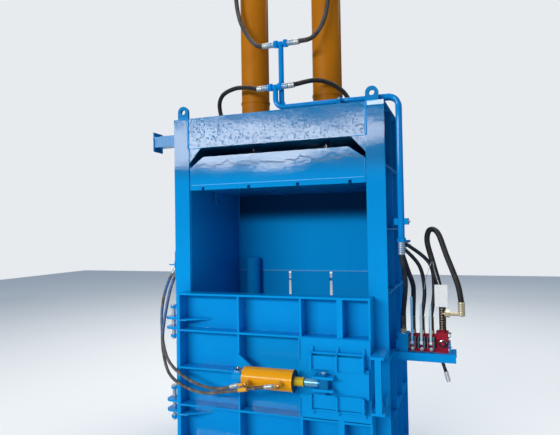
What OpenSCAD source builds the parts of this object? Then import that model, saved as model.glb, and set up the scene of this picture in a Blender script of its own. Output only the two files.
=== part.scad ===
// Vertical twin-cylinder hydraulic baler with a hinged front door and a hydraulic door lock.
// X runs to the right seen from the front, Y to the back, Z up. The origin is on the floor, at the
// centre of the body's footprint. Sizes are in millimetres.

/* [Chamber and walls] */
// Clear width of the baling chamber
chamber_w = 1200; // [1100:10:1300]
// Clear depth of the baling chamber
chamber_d = 800; // [720:10:900]
// Width of the flat front columns beside the opening
column_w = 113; // [108:1:125]
// Thickness of the front columns and head beams
flange_t = 20; // [16:1:25]
// Thickness of the wall plates
plate_t = 12; // [8:1:14]
// Thickness of the stiffening ribs
rib_t = 12; // [8:1:14]
// Depth of the ribs on the back wall
back_rib_d = 108; // [96:2:120]
// Height of one row of side ribs
row_h = 385; // [370:1:400]
// Height of the seam between the lower and the upper back wall
seam_z = 1225; // [1200:5:1300]
// Pitch of the strap grooves and slots
strap_pitch = 333; // [300:1:350]
// Width of the strap slots in the back wall
slot_w = 22; // [12:1:26]

/* [Base] */
// Height of the base sills
sill_h = 160; // [140:5:160]
// Thickness of the floor plate
floor_t = 20; // [16:1:20]
// Thickness of the floor bars, which is the depth of their strap grooves
floor_bar_t = 20; // [16:1:20]
// Width of the strap grooves in the floor and under the platen
groove_w = 20; // [16:1:24]

/* [Head] */
// Height of the head beams
head_h = 204; // [190:2:220]
// Width of the corner gussets under the head beams
corner_w = 90; // [70:5:110]
// Height of the corner gussets under the head beams
corner_h = 100; // [80:5:110]
// Thickness of the crown plate that carries the cylinders
crown_t = 30; // [25:1:35]
// Width of a lifting lug
lug_w = 78; // [70:2:90]
// Height of the centre of a lifting lug's hole above the column
lug_rise = 48; // [44:1:60]
// Diameter of a lifting lug's hole
lug_bore = 34; // [28:1:40]
// Distance of a lifting lug's hole from the chamber's side
lug_x = 42; // [40:1:60]

/* [Main cylinders] */
// Distance of each main cylinder from the centre
cylinder_x = 270; // [250:5:280]
// Outer diameter of the main barrels
barrel_od = 203; // [196:1:210]
// Bore of the main barrels
barrel_bore = 165; // [160:1:170]
// Diameter of the main piston rods
rod_d = 110; // [90:1:115]
// Stroke of the platen
stroke = 1100; // [900:10:1150]
// Length of a main rod from the platen's underside to its piston
rod_l = 1568; // [1540:1:1600]
// Length of the main pistons
piston_l = 80; // [60:2:100]
// Diameter of the main cylinders' mounting flanges
cyl_flange_d = 290; // [280:2:300]
// Thickness of the main cylinders' mounting flanges
cyl_flange_t = 35; // [30:1:45]
// Length of the gland inside a main barrel
gland_l = 55; // [40:1:60]
// Thickness of the main cylinders' end caps
cap_t = 40; // [30:1:50]
// Radial running clearance of pistons, rods and pins
run_gap = 0.05; // [0.02:0.01:0.08]

/* [Platen] */
// Clearance between the platen and the chamber's walls
platen_gap = 5; // [4:1:8]
// Distance of the platen's underside below the head beams at the top of its stroke
platen_drop = 284; // [276:1:300]
// Height of the platen's short sides
platen_side_h = 150; // [130:5:160]
// Height of the platen's front plate in the middle
platen_mid_h = 223; // [200:1:230]
// Width of the slope at each end of the platen's front plate
platen_slope = 100; // [80:5:120]
// Thickness of the platen's front and rear plates
platen_front_t = 16; // [12:1:18]
// Thickness of the platen's base plate and of the bars under it
platen_base_t = 20; // [16:1:22]
// Radial gap between the platen and the round housing in the rear corner
housing_gap = 10; // [8:1:14]

/* [Rear housing] */
// Diameter of the round housing in the rear left corner
housing_d = 114; // [100:1:120]
// Distance of the round housing's axis from the chamber's left side
housing_in = 145; // [140:1:155]
// Height of the top of the round housing
housing_top = 1333; // [1300:1:1400]

/* [Door] */
// Height of the door's bottom edge
door_z = 185; // [182:1:195]
// Height of one row of the door's ribs
door_row_h = 240; // [236:1:244]
// How far the door reaches past the opening on the hinge side
door_lap = 40; // [30:1:44]
// How far the door reaches past the opening on the lock side
door_lap_free = 28; // [24:1:32]
// Gap between the door's plate and the columns
door_gap = 5; // [3:1:8]
// Thickness of the door's plate
door_plate_t = 12; // [8:1:14]
// Depth of the door's ribs
door_rib_d = 100; // [90:1:110]
// Thickness of the door's hinge-side end plate
door_end_t = 24; // [16:1:26]
// Place of the door's left upright rib
door_rib_left = -199; // [-205:1:-190]
// Place of the door's middle upright rib
door_rib_mid = 208; // [205:1:214]
// Place of the door's right upright rib
door_rib_right = 448; // [440:1:456]
// Width of the door's right upright rib
door_rib_wide = 34; // [24:1:40]

/* [Hinges] */
// Distance of the hinge pins from the outer face of the column
hinge_out = 25; // [24:1:30]
// Distance of the hinge pins behind the column's front face
hinge_back = 10; // [8:1:14]
// Diameter of the hinge pins
hinge_pin_d = 26; // [20:1:28]
// Diameter of the hinge eyes
hinge_eye_d = 44; // [40:1:46]
// Thickness of the hinge ears
hinge_ear_t = 16; // [12:1:20]
// Pitch of the hinge ears
hinge_pitch = 65; // [60:1:68]

/* [Door lock] */
// Distance of the lock's axis in front of the columns
lock_out = 193; // [193:1:198]
// Height of the lock bar
lock_bar_h = 166; // [150:1:170]
// Thickness of the lock bar
lock_bar_t = 26; // [20:1:28]
// Left end of the lock bar at rest
lock_bar_x = 388; // [384:1:396]
// Length of the lock bar
lock_bar_l = 232; // [215:1:236]
// Running gap round the lock bar
lock_gap = 2; // [1:0.5:3]
// Width of the retaining bars that hold the lock bar
keeper_h = 65; // [58:1:72]
// Thickness of the retaining bars
keeper_t = 12; // [10:1:16]
// Pitch of the gussets that carry the retaining bars
keeper_pitch = 152; // [140:1:154]
// Outer diameter of the lock cylinder
lock_od = 127; // [116:1:130]
// Bore of the lock cylinder
lock_bore = 100; // [90:1:104]
// Left end of the lock cylinder's barrel
lock_barrel_x = -122; // [-128:1:-116]
// Length of the lock cylinder's barrel
lock_barrel_l = 307; // [302:1:312]
// Distance of the lock's piston from the barrel's left end at rest
lock_piston_x = 150; // [145:1:160]
// Diameter of the lock cylinder's rod
lock_rod_d = 45; // [36:1:46]
// Length of the lock cylinder's gland outside the barrel
lock_gland_l = 67; // [58:1:70]
// Diameter of the lock cylinder's gland outside the barrel
lock_gland_d = 52; // [50:1:54]
// Length of the lock cylinder's rod and eye past the gland at rest
lock_rod_out = 96; // [94:1:104]

/* [Strike] */
// Width of the upright strike bar
strike_w = 35; // [30:1:40]
// Thickness of the upright strike bar
strike_t = 34; // [28:1:36]
// Clearance between the strike bar and the front of the lock bar
strike_gap = 8; // [6:1:10]
// Distance of the strike bar from the chamber's side
strike_x = 60; // [56:1:64]
// Clear height between the strike's brackets
strike_h = 293; // [280:1:300]
// Thickness of the strike's brackets
strike_plate_t = 14; // [10:1:20]

/* [Pipes and hoses] */
// Outer diameter of the steel pipes
pipe_d = 34; // [28:1:36]
// Bend radius of the steel pipes
pipe_bend = 60; // [50:1:80]
// Height of the lower ends of the steel pipes
pipe_end_z = 1463; // [1440:1:1480]
// Height of the lower tee above the body
low_tee_rise = 165; // [150:1:180]
// Height of the upper tee above the body
high_tee_rise = 458; // [440:1:480]
// Height of the upright clamp above the lower ends of the steel pipes
clamp_rise = 102; // [80:1:150]
// Height of the upright clamp
clamp_h = 38; // [24:1:44]
// Distance of the clamp on top from the chamber's right side
clamp_in = 172; // [140:2:200]
// Outer diameter of the hoses at the main cylinders
main_hose_d = 30; // [24:1:34]
// Outer diameter of the hoses at the door lock
lock_hose_d = 20; // [16:1:22]
// Outer diameter of the pipes behind the door lock's hoses
lock_pipe_d = 18; // [14:1:20]
// Outer diameter of the pump hoses
pump_hose_d = 34; // [28:1:36]

/* [Valve] */
// Height of the valve shelf's top face
shelf_z = 782; // [776:1:790]
// Length of the valve shelf
shelf_l = 365; // [357:1:377]
// Width of the valve shelf
shelf_w = 160; // [150:2:180]
// Height of the valve shelf's front and rear edges
shelf_edge = 50; // [40:1:56]
// Pitch of the valve sections and levers
section_pitch = 55; // [54:1:58]
// Height of the valve sections
section_h = 96; // [90:1:104]
// Diameter of the lever rods
lever_d = 14; // [10:1:16]
// Length of the long lever
lever_long = 275; // [240:5:300]
// Length of the short levers
lever_short = 232; // [200:2:260]

/* [Hidden] */

rows = 6;
rib_d = column_w - plate_t;
body_h = rows * row_h;
body_d = chamber_d + plate_t + back_rib_d;
half_in = chamber_w / 2;
half_out = half_in + column_w;
floor_z = sill_h + floor_t;
bar_z = floor_z + floor_bar_t;
head_z = body_h - head_h;
crown_z = head_z + crown_t;
strap_x = [for (i = [-1.5 : 1 : 1.5]) i * strap_pitch];
axis_y = chamber_d / 2;
gland_z = crown_z + cyl_flange_t;
platen_z = head_z - platen_drop;
piston_z = platen_z + rod_l;
barrel_top = piston_z + piston_l + 15;
platen_half = half_in - platen_gap;
platen_y0 = platen_gap + 3;
platen_y1 = chamber_d - platen_gap - 3;
platen_base_z = platen_z + platen_base_t;
housing_x = half_in - housing_in;
housing_y = chamber_d - housing_d / 2;
door_half = half_in + door_lap;
door_right = half_in + door_lap_free;
door_w = door_half + door_right;
door_face = -door_gap - door_plate_t;
door_front = door_face - door_rib_d;
door_top = door_z + 4 * door_row_h;
door_level = [for (i = [1 : 3]) door_z + i * door_row_h];
hinge_x = -half_out - hinge_out;
lock_z = door_level[1];
lock_back = door_front - plate_t;
bar_back = lock_back - lock_gap;
bar_front = bar_back - lock_bar_t;
keeper_y = bar_front - lock_gap;
keeper_x0 = 433;
keeper_lap = 14;
keeper_base = lock_bar_h / 2 + lock_gap;
lock_pin_d = 24;
lock_pin_x = lock_bar_x - 20;
tail_pin_x = lock_barrel_x - 46;
tail_half = 14;
lock_gland_x = lock_barrel_x + lock_barrel_l;
lock_rod_x = lock_gland_x + lock_gland_l + lock_rod_out;
strike_y = bar_front - strike_gap;
strike_z = lock_z + 9;
bay_y = [flange_t, body_d / 3 + rib_t / 2, 2 * body_d / 3 + rib_t / 2, body_d];
pipe_x = half_out + 76;
pipe_y = [62, 102];
riser_x = [10, 38];
tee_z = [body_h + low_tee_rise, body_h + high_tee_rise];
run_z = body_h + pipe_d / 2 + 12;
pipe_ferrule = 76;
port_d = 46;
port_l = 26;
web_off = 150;
rod_flange_d = 200;
valve_x0 = half_out + 85;
valve_y = 265;
lever_y = 205;
lever_z = shelf_z + 60;
lever_hub = 16;
card_wire_d = 4;
lever_pin_d = 10;
ferrule_y = valve_y + 25;
end_port_x = half_out + 55;
end_port_y = valve_y - 10;
card_w = 75;
card_t = 3;
card_h = 134;
lever_x = [for (i = [0 : 2]) valve_x0 + 27 + i * section_pitch];
tee_ferrule = 40;
inlet_x = valve_x0 + 3 * section_pitch;

module at_body() {
    translate([0, -body_d / 2, 0]) children();
}

module both_sides() {
    for (s = [0, 1]) mirror([s, 0, 0]) children();
}

module on_side(s) {
    mirror([s < 0 ? 1 : 0, 0, 0]) children();
}

// A bar along X with its round section in the YZ plane
module bar_x(d, l) {
    rotate([0, 90, 0]) cylinder(d = d, h = l, $fn = 48);
}

// A bar along Y, from its start towards the back
module bar_y(d, l) {
    rotate([-90, 0, 0]) cylinder(d = d, h = l, $fn = 48);
}

// An outline in the YZ plane, extruded along X
module yz_plate(points, t) {
    rotate([90, 0, 90]) linear_extrude(t) polygon(points);
}

// An outline in the XZ plane, extruded towards the back
module xz_plate(points, t) {
    translate([0, t, 0]) rotate([90, 0, 0]) linear_extrude(t) polygon(points);
}

// Strips across the width, with a gap at each strap position
module strap_strips(x_end, gap, d, h) {
    edges = concat([-x_end], [for (x = strap_x) each [x - gap / 2, x + gap / 2]], [x_end]);
    for (i = [0 : 2 : len(edges) - 2])
        translate([edges[i], 0, 0]) cube([edges[i + 1] - edges[i], d, h]);
}

// Base and floor

module base_frame() {
    beam_t = 14;
    color("dodgerblue") at_body() {
        for (y = [0, body_d - flange_t])
            translate([-half_in, y, 0]) cube([chamber_w, flange_t, sill_h]);
        for (x = [-1, -0.5, 0, 0.5, 1])
            translate([x * (half_in - beam_t / 2) - beam_t / 2, flange_t, 0])
                cube([beam_t, body_d - 2 * flange_t, sill_h]);
    }
}

module floor_plate() {
    color("dodgerblue") at_body()
        translate([-half_in, 0, sill_h]) cube([chamber_w, body_d, floor_t]);
}

module floor_bars() {
    color("dodgerblue") at_body()
        translate([0, 0, floor_z]) strap_strips(half_in, groove_w, chamber_d, floor_bar_t);
}

// Side walls

module wall_plate(s) {
    color("royalblue") at_body() on_side(s)
        translate([half_in, flange_t, 0]) cube([plate_t, body_d - flange_t, body_h]);
}

module wall_posts(s) {
    color("dodgerblue") at_body() on_side(s)
        for (i = [1 : 3])
            translate([half_in + plate_t, bay_y[i] - rib_t, 0]) cube([rib_d, rib_t, body_h]);
}

module wall_rails(s) {
    color("dodgerblue") at_body() on_side(s)
        for (row = [0 : rows], bay = [0 : 2]) {
            z = min(max(row * row_h - rib_t / 2, 0), body_h - rib_t);
            translate([half_in + plate_t, bay_y[bay], z])
                cube([rib_d, bay_y[bay + 1] - rib_t - bay_y[bay], rib_t]);
        }
}

module column(s) {
    color("dodgerblue") at_body() on_side(s)
        translate([half_in, 0, 0]) cube([column_w, flange_t, body_h]);
}

// Back wall

module back_wall_upper() {
    color("dodgerblue") at_body()
        translate([-half_in, chamber_d, seam_z]) cube([chamber_w, plate_t, head_z - seam_z]);
}

module back_wall_lower() {
    color("dodgerblue") at_body()
        translate([0, chamber_d, floor_z]) strap_strips(half_in, slot_w, plate_t, seam_z - floor_z);
}

module back_wall_ribs() {
    color("dodgerblue") at_body() {
        for (row = [1 : rows - 1])
            translate([-half_in, chamber_d + plate_t, row * row_h - rib_t / 2])
                cube([chamber_w, back_rib_d, rib_t]);
        for (row = [0 : rows - 1], x = [-1 : 1]) {
            z0 = max(row * row_h + rib_t / 2, floor_z);
            z1 = min((row + 1) * row_h - rib_t / 2, head_z);
            translate([x * strap_pitch - rib_t / 2, chamber_d + plate_t, z0])
                cube([rib_t, back_rib_d, z1 - z0]);
        }
    }
}

// Head and crown

module head_beam(y) {
    step = 4;
    color("dodgerblue") at_body() translate([0, y, 0]) {
        translate([-half_in, 0, head_z]) cube([chamber_w, flange_t, head_h]);
        both_sides() translate([0, step, 0])
            xz_plate([[half_in, head_z - corner_h], [half_in, head_z + 1],
                [half_in - corner_w, head_z + 1], [half_in - corner_w, head_z]], flange_t - 2 * step);
    }
}

module crown_plate() {
    color("dodgerblue") at_body() difference() {
        translate([-half_in, flange_t, head_z])
            cube([chamber_w, body_d - 2 * flange_t, crown_t]);
        for (s = [-1, 1])
            translate([s * cylinder_x, axis_y, head_z - 1])
                cylinder(d = barrel_bore + 16, h = crown_t + 2, $fn = 96);
    }
}

module crown_webs() {
    web_h = body_h - crown_z - 10;
    web_gap = cyl_flange_d / 2 + 20;
    front_y = axis_y - web_gap - rib_t;
    rear_y = axis_y + web_gap;
    color("dodgerblue") at_body() translate([0, 0, crown_z]) {
        for (y = [front_y, rear_y])
            translate([-half_in, y, 0]) cube([chamber_w, rib_t, web_h]);
        for (x = [-0.75, 0, 0.75]) {
            translate([x * half_in - rib_t / 2, flange_t, 0])
                cube([rib_t, front_y - flange_t, web_h]);
            translate([x * half_in - rib_t / 2, rear_y + rib_t, 0])
                cube([rib_t, body_d - flange_t - rear_y - rib_t, web_h]);
        }
        translate([-rib_t / 2, front_y + rib_t, 0]) cube([rib_t, rear_y - front_y - rib_t, web_h]);
    }
}

module lug_plate() {
    rotate([90, 0, 0]) linear_extrude(flange_t) difference() {
        union() {
            translate([-lug_w / 2, 0]) square([lug_w, lug_rise]);
            translate([0, lug_rise]) circle(d = lug_w, $fn = 96);
        }
        translate([0, lug_rise]) circle(d = lug_bore, $fn = 96);
    }
}

module lifting_lugs() {
    color("dodgerblue") at_body() both_sides()
        for (y = [flange_t, body_d])
            translate([half_in + lug_x, y, body_h]) lug_plate();
}

// Main cylinders

module main_barrel(s) {
    port_z = gland_z + gland_l + 30;
    color("orange") at_body() on_side(s) translate([cylinder_x, axis_y, 0]) {
        difference() {
            union() {
                translate([0, 0, gland_z])
                    cylinder(d = barrel_od, h = barrel_top - gland_z + cap_t - 6, $fn = 96);
                translate([0, 0, barrel_top + cap_t - 6])
                    cylinder(d1 = barrel_od, d2 = barrel_od - 16, h = 6, $fn = 96);
                translate([0, 0, gland_z + 290]) cylinder(d = barrel_od + 8, h = 14, $fn = 96);
                translate([barrel_od / 2 - 6, 0, port_z]) bar_x(port_d, port_l);
                translate([0, -barrel_od / 2 - port_l + 6, barrel_top - 30]) bar_y(port_d, port_l);
            }
            translate([0, 0, gland_z - 1])
                cylinder(d = barrel_bore, h = barrel_top - gland_z + 1, $fn = 96);
        }
    }
}

module cylinder_head(s) {
    color("orange") at_body() on_side(s) translate([cylinder_x, axis_y, 0]) difference() {
        union() {
            translate([0, 0, crown_z]) cylinder(d = cyl_flange_d, h = cyl_flange_t, $fn = 96);
            translate([0, 0, head_z]) cylinder(d = barrel_bore + 15, h = crown_t, $fn = 96);
            translate([0, 0, gland_z]) cylinder(d = barrel_bore - 0.4, h = gland_l, $fn = 96);
        }
        translate([0, 0, head_z - 1])
            cylinder(d = rod_d + 2 * run_gap, h = crown_t + cyl_flange_t + gland_l + 2, $fn = 96);
    }
}

module flange_bolts() {
    circle_r = (cyl_flange_d + barrel_od) / 4;
    color("silver") at_body() both_sides()
        for (i = [0 : 7])
            translate([cylinder_x, axis_y, gland_z]) rotate(i * 45 + 22.5)
                translate([circle_r, 0, 0]) cylinder(d = 36, h = 18, $fn = 6);
}

module main_rod(s) {
    flange_h = 30;
    color("silver") at_body() on_side(s) translate([cylinder_x, axis_y, 0])
        rotate_extrude($fn = 96) polygon([
            [0, platen_base_z + platen_base_t], [rod_flange_d / 2, platen_base_z + platen_base_t],
            [rod_flange_d / 2, platen_base_z + platen_base_t + flange_h],
            [rod_d / 2, platen_base_z + platen_base_t + flange_h], [rod_d / 2, piston_z],
            [barrel_bore / 2 - run_gap, piston_z], [barrel_bore / 2 - run_gap, piston_z + piston_l],
            [0, piston_z + piston_l]]);
}

// Platen

module housing_notch() {
    r = housing_d / 2 + housing_gap;
    translate([-housing_x, housing_y, platen_z - 1]) {
        cylinder(r = r, h = platen_mid_h + 2, $fn = 96);
        translate([-r, 0, 0]) cube([2 * r, housing_d, platen_mid_h + 2]);
    }
}

module platen_face(y) {
    side_z = platen_z + platen_side_h;
    top_z = platen_z + platen_mid_h;
    top_x = platen_half - platen_slope;
    translate([0, y, 0]) difference() {
        xz_plate([[-platen_half, platen_z], [platen_half, platen_z], [platen_half, side_z],
            [top_x, top_z], [-top_x, top_z], [-platen_half, side_z]], platen_front_t);
        for (x = strap_x)
            translate([x - groove_w / 2, -1, platen_z - 1])
                cube([groove_w, platen_front_t + 2, platen_base_t + 1]);
    }
}

module chain_lug() {
    translate([-platen_half + 6, axis_y - 50, platen_z]) rotate([90, 0, 90]) linear_extrude(plate_t)
        difference() {
            polygon([[0, 1], [100, 1], [100, -56], [82, -80], [18, -80], [0, -56]]);
            translate([50, -44]) circle(d = 32, $fn = 48);
        }
}

module platen_box() {
    inner_d = platen_y1 - platen_y0 - 2 * platen_front_t;
    color("dodgerblue") at_body() difference() {
        union() {
            chain_lug();
            platen_face(platen_y0);
            platen_face(platen_y1 - platen_front_t);
            translate([-platen_half, platen_y0 + platen_front_t, platen_base_z])
                cube([2 * platen_half, inner_d, platen_base_t]);
            translate([0, platen_y0 + platen_front_t, platen_z])
                strap_strips(platen_half, groove_w, inner_d, platen_base_t);
            both_sides() translate([platen_half - plate_t, platen_y0 + platen_front_t, platen_base_z])
                cube([plate_t, inner_d, platen_side_h - platen_base_t]);
        }
        housing_notch();
    }
}

module platen_webs() {
    web_z = platen_base_z + platen_base_t;
    web_h = platen_side_h - 2 * platen_base_t;
    inner_half = platen_half - plate_t;
    side_web = cylinder_x + rod_flange_d / 2 + 20;
    y0 = platen_y0 + platen_front_t;
    y1 = platen_y1 - platen_front_t;
    color("dodgerblue") at_body() translate([0, 0, web_z]) {
        for (y = [axis_y - web_off - rib_t, axis_y + web_off])
            translate([-inner_half, y, 0]) cube([2 * inner_half, rib_t, web_h]);
        for (x = [-side_web, 0, side_web])
            translate([x - rib_t / 2, y0, 0]) cube([rib_t, y1 - y0, web_h]);
    }
}

// Round housing in the rear corner

module rear_housing() {
    r = housing_d / 2;
    wall = 6;
    color("dodgerblue") at_body() translate([-housing_x, housing_y, 0])
        rotate_extrude($fn = 96) polygon([[r - wall, bar_z], [r, bar_z], [r, housing_top - 10],
            [r - 10, housing_top], [0, housing_top], [0, housing_top - wall - 6],
            [r - wall, housing_top - wall - 6]]);
}

module stub_bracket() {
    beam_z = body_h - 172;
    beam_h = 75;
    end_x = half_out + 171;
    color("dodgerblue") at_body() on_side(-1) {
        translate([half_in + plate_t, flange_t, beam_z])
            cube([end_x - half_in - plate_t, 80, beam_h]);
        translate([end_x, flange_t - 5, beam_z - 30]) cube([8, 110, 135]);
    }
}

// Door hinges

// Plan outline of an ear on the column
module column_ear() {
    difference() {
        union() {
            circle(d = hinge_eye_d, $fn = 64);
            translate([0, -hinge_back]) square([hinge_out, 24]);
        }
        circle(d = hinge_pin_d, $fn = 64);
    }
}

// Plan outline of an ear on the door, which goes round the column's corner
module door_ear() {
    r = hinge_eye_d / 2;
    front = door_face - 50 - hinge_back;
    difference() {
        union() {
            circle(d = hinge_eye_d, $fn = 64);
            polygon([[-r, 0], [r, 0], [r, -hinge_back - 8], [half_out - door_half + hinge_out, -hinge_back - 8],
                [half_out - door_half + hinge_out, front], [0, front], [-r, front + 24]]);
        }
        circle(d = hinge_pin_d + 2 * run_gap, $fn = 64);
    }
}

module hinge_brackets() {
    color("dodgerblue") at_body()
        for (z = [door_level[2], door_level[0] - hinge_pitch], i = [-1, 2])
            translate([hinge_x, hinge_back, z + i * hinge_pitch - hinge_ear_t / 2])
                linear_extrude(hinge_ear_t) column_ear();
}

module hinge_pins() {
    pin_l = 3 * hinge_pitch + hinge_ear_t + 12;
    color("silver") at_body()
        for (z = [door_level[2], door_level[0] - hinge_pitch])
            translate([hinge_x, hinge_back, z - hinge_pitch - hinge_ear_t / 2 - 12]) {
                cylinder(d = hinge_pin_d, h = pin_l, $fn = 64);
                translate([0, 0, pin_l]) cylinder(d = hinge_eye_d - 4, h = 10, $fn = 64);
            }
}

// Door

module door_panel() {
    color("dodgerblue") at_body()
        translate([-door_half, door_face, door_z])
            cube([door_w, door_plate_t, door_top - door_z]);
}

module door_ribs() {
    z = door_level;
    ribs = [[door_rib_left, rib_t], [door_rib_mid, rib_t], [door_rib_right, door_rib_wide]];
    ear_z = [z[2], z[2] + hinge_pitch, z[0], z[0] - hinge_pitch];
    color("dodgerblue") at_body() {
        translate([-door_half, door_front, door_z])
            cube([door_end_t, door_rib_d, door_top - door_z]);
        translate([door_right - rib_t, door_front, door_z])
            cube([rib_t, door_rib_d, door_top - door_z]);
        for (lz = [door_z, door_top - rib_t])
            translate([-door_half + 1, door_front, lz]) cube([door_w - 2, door_rib_d, rib_t]);
        for (lz = [z[0], z[2]])
            translate([-door_half + 1, door_front, lz - rib_t / 2])
                cube([door_w - 2, door_rib_d, rib_t]);
        translate([-door_half + 1, door_front, z[1] - rib_t / 2])
            cube([door_half + door_rib_left, door_rib_d, rib_t]);
        translate([door_rib_mid, door_front, z[1] - rib_t / 2])
            cube([door_right - door_rib_mid - 1, door_rib_d, rib_t]);
        for (r = ribs)
            translate([r[0] - r[1] / 2, door_front, door_z + 1])
                cube([r[1], door_rib_d, door_top - door_z - 2]);
        for (gz = [ear_z[1], ear_z[3]])
            translate([-door_half + door_end_t - 1, door_face, gz - rib_t / 2])
                linear_extrude(rib_t) polygon([[0, 0], [0, -door_rib_d], [190, 0]]);
    }
}

module door_ears() {
    z = door_level;
    color("dodgerblue") at_body()
        for (ez = [z[2], z[2] + hinge_pitch, z[0], z[0] - hinge_pitch])
            translate([hinge_x, hinge_back, ez - hinge_ear_t / 2])
                linear_extrude(hinge_ear_t) door_ear();
}

// Door lock

module keeper_gusset() {
    front = keeper_y - keeper_t;
    proud = front - 18;
    top = keeper_base + keeper_h;
    yz_plate([[lock_back, keeper_base], [front, keeper_base], [front, keeper_base - keeper_lap],
        [proud, keeper_base - keeper_lap], [proud, top - 6], [proud + 4, top + 4],
        [proud + 14, top + 10], [lock_back - 26, top + 16], [lock_back - 16, top + 22],
        [lock_back - 13, top + 34], [lock_back - 6, top + 46], [lock_back, top + 49]], rib_t);
}

module lock_keepers() {
    plate_x = door_rib_mid - rib_t / 2;
    x0 = keeper_x0 - keeper_pitch;
    span = 2 * keeper_pitch + rib_t;
    color("dodgerblue") at_body() translate([0, 0, lock_z]) {
        translate([plate_x, lock_back, 16 - door_row_h])
            cube([door_right - plate_x, plate_t, 2 * door_row_h - 14]);
        for (s = [0, 1]) mirror([0, 0, s]) {
            translate([x0, keeper_y - keeper_t, keeper_base - keeper_lap])
                cube([span, keeper_t, keeper_h + keeper_lap]);
            for (i = [-1 : 1])
                translate([keeper_x0 + i * keeper_pitch, 0, 0]) keeper_gusset();
            for (z = [keeper_base, keeper_base + keeper_h + 8])
                translate([x0, keeper_y, z]) cube([span, lock_back - keeper_y, rib_t]);
        }
    }
}

module lock_bar() {
    fork_l = 80;
    fork_lap = 40;
    fork_t = 14;
    fork_gap = 56;
    fork_y = -lock_out - 24;
    color("dodgerblue") at_body() translate([0, 0, lock_z]) difference() {
        union() {
            translate([lock_bar_x, bar_front, -lock_bar_h / 2])
                cube([lock_bar_l, lock_bar_t, lock_bar_h]);
            for (z = [fork_gap / 2, -fork_gap / 2 - fork_t])
                translate([lock_bar_x - fork_l, fork_y, z])
                    cube([fork_l + fork_lap, bar_back - fork_y, fork_t]);
        }
        translate([lock_pin_x, -lock_out, -60]) cylinder(d = lock_pin_d, h = 120, $fn = 48);
    }
}

module lock_rod() {
    eye_l = 48;
    eye_w = 44;
    eye_h = 54;
    pin_half = 52;
    nut_z = 44;
    rod_start = lock_barrel_x + lock_piston_x;
    color("silver") at_body() translate([0, -lock_out, lock_z]) {
        translate([rod_start, 0, 0]) bar_x(lock_bore - 2 * run_gap, 40);
        translate([rod_start + 39, 0, 0]) bar_x(lock_rod_d, lock_rod_x - rod_start - 39);
        translate([lock_rod_x - 1, -eye_w / 2, -eye_h / 2]) cube([eye_l + 1, eye_w, eye_h]);
        translate([lock_pin_x, 0, -pin_half])
            cylinder(d = lock_pin_d - 2 * run_gap, h = 2 * pin_half, $fn = 48);
        for (s = [0, 1]) mirror([0, 0, s])
            translate([lock_pin_x, 0, nut_z]) cylinder(d = 38, h = 14, $fn = 6);
    }
}

module lock_barrel() {
    tail_t = 25;
    low_reach = 55;
    high_reach = 48;
    face = -lock_od / 2;
    color("orange") at_body() {
        translate([0, -lock_out, lock_z]) difference() {
            union() {
                translate([lock_barrel_x, 0, 0]) bar_x(lock_od, lock_barrel_l);
                translate([lock_barrel_x + 52, face - low_reach, -10]) bar_y(34, low_reach + 5);
                translate([lock_barrel_x + lock_barrel_l - 54, face - high_reach, -4])
                    bar_y(34, high_reach + 5);
                translate([tail_pin_x - 32, -26, -tail_half])
                    cube([lock_barrel_x - tail_pin_x + 34, 52, 2 * tail_half]);
            }
            translate([lock_barrel_x + tail_t, 0, 0]) bar_x(lock_bore, lock_barrel_l);
            translate([tail_pin_x, 0, -20]) cylinder(d = lock_pin_d, h = 40, $fn = 48);
        }
        end_stub(lock_low, lock_pipe_d, 58);
        end_stub(lock_high, lock_pipe_d, 36);
    }
}

module lock_gland() {
    color("gold") at_body() translate([lock_gland_x, -lock_out, lock_z]) difference() {
        union() {
            translate([-20, 0, 0]) bar_x(lock_bore - 0.4, 20);
            bar_x(lock_od + 4, 8);
            translate([7, 0, 0]) bar_x(lock_gland_d, lock_gland_l - 7);
        }
        translate([-30, 0, 0]) bar_x(lock_rod_d + 2 * run_gap, lock_gland_l + 40);
    }
}

module lock_tail() {
    ear_w = 56;
    ear_t = 14;
    ear_gap = tail_half + 0.5;
    ear_y = -lock_out - 26;
    pin_half = 38;
    plate_x0 = door_rib_left - rib_t / 2;
    plate_x1 = lock_barrel_x + 30;
    color("dodgerblue") at_body() {
        translate([0, lock_back, lock_z])
            xz_plate([[plate_x0, -70], [plate_x1, -70], [plate_x1, 36], [plate_x0 + 10, 116],
                [plate_x0, 116]], plate_t);
        translate([tail_pin_x, 0, lock_z]) {
            for (z = [ear_gap, -ear_gap - ear_t])
                translate([-ear_w / 2, ear_y, z]) cube([ear_w, lock_back - ear_y + 1, ear_t]);
            translate([0, -lock_out, -pin_half])
                cylinder(d = lock_pin_d - 0.4, h = 2 * pin_half, $fn = 48);
            for (s = [0, 1]) mirror([0, 0, s])
                translate([0, -lock_out, ear_gap + ear_t]) cylinder(d = 40, h = 12, $fn = 6);
        }
    }
}

// Strike on the right column

module strike_brackets() {
    x0 = half_in + strike_x - 22;
    w = strike_w + 38;
    reach = strike_t - strike_y;
    color("dodgerblue") at_body() translate([0, 0, strike_z]) for (s = [0, 1]) mirror([0, 0, s]) {
        translate([x0, -reach, strike_h / 2]) cube([w, reach, strike_plate_t]);
        translate([x0 + w - rib_t, 0, strike_h / 2]) yz_plate([[0, 1], [-110, 1], [-110, 0], [0, -62]], rib_t);
    }
}

module strike_bar() {
    color("dodgerblue") at_body()
        translate([half_in + strike_x, strike_y - strike_t, strike_z - strike_h / 2])
            cube([strike_w, strike_t, strike_h]);
}

// Steel pipes, tees and the hoses of the main cylinders

// A pipe bend of 90 degrees that starts upwards at the origin and ends towards +X
module bend(d, r) {
    translate([r, 0, 0]) rotate([90, 0, 0]) rotate([0, 0, 90])
        rotate_extrude(angle = 90, $fn = 96) translate([r, 0]) circle(d = d, $fn = 48);
}

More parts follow.
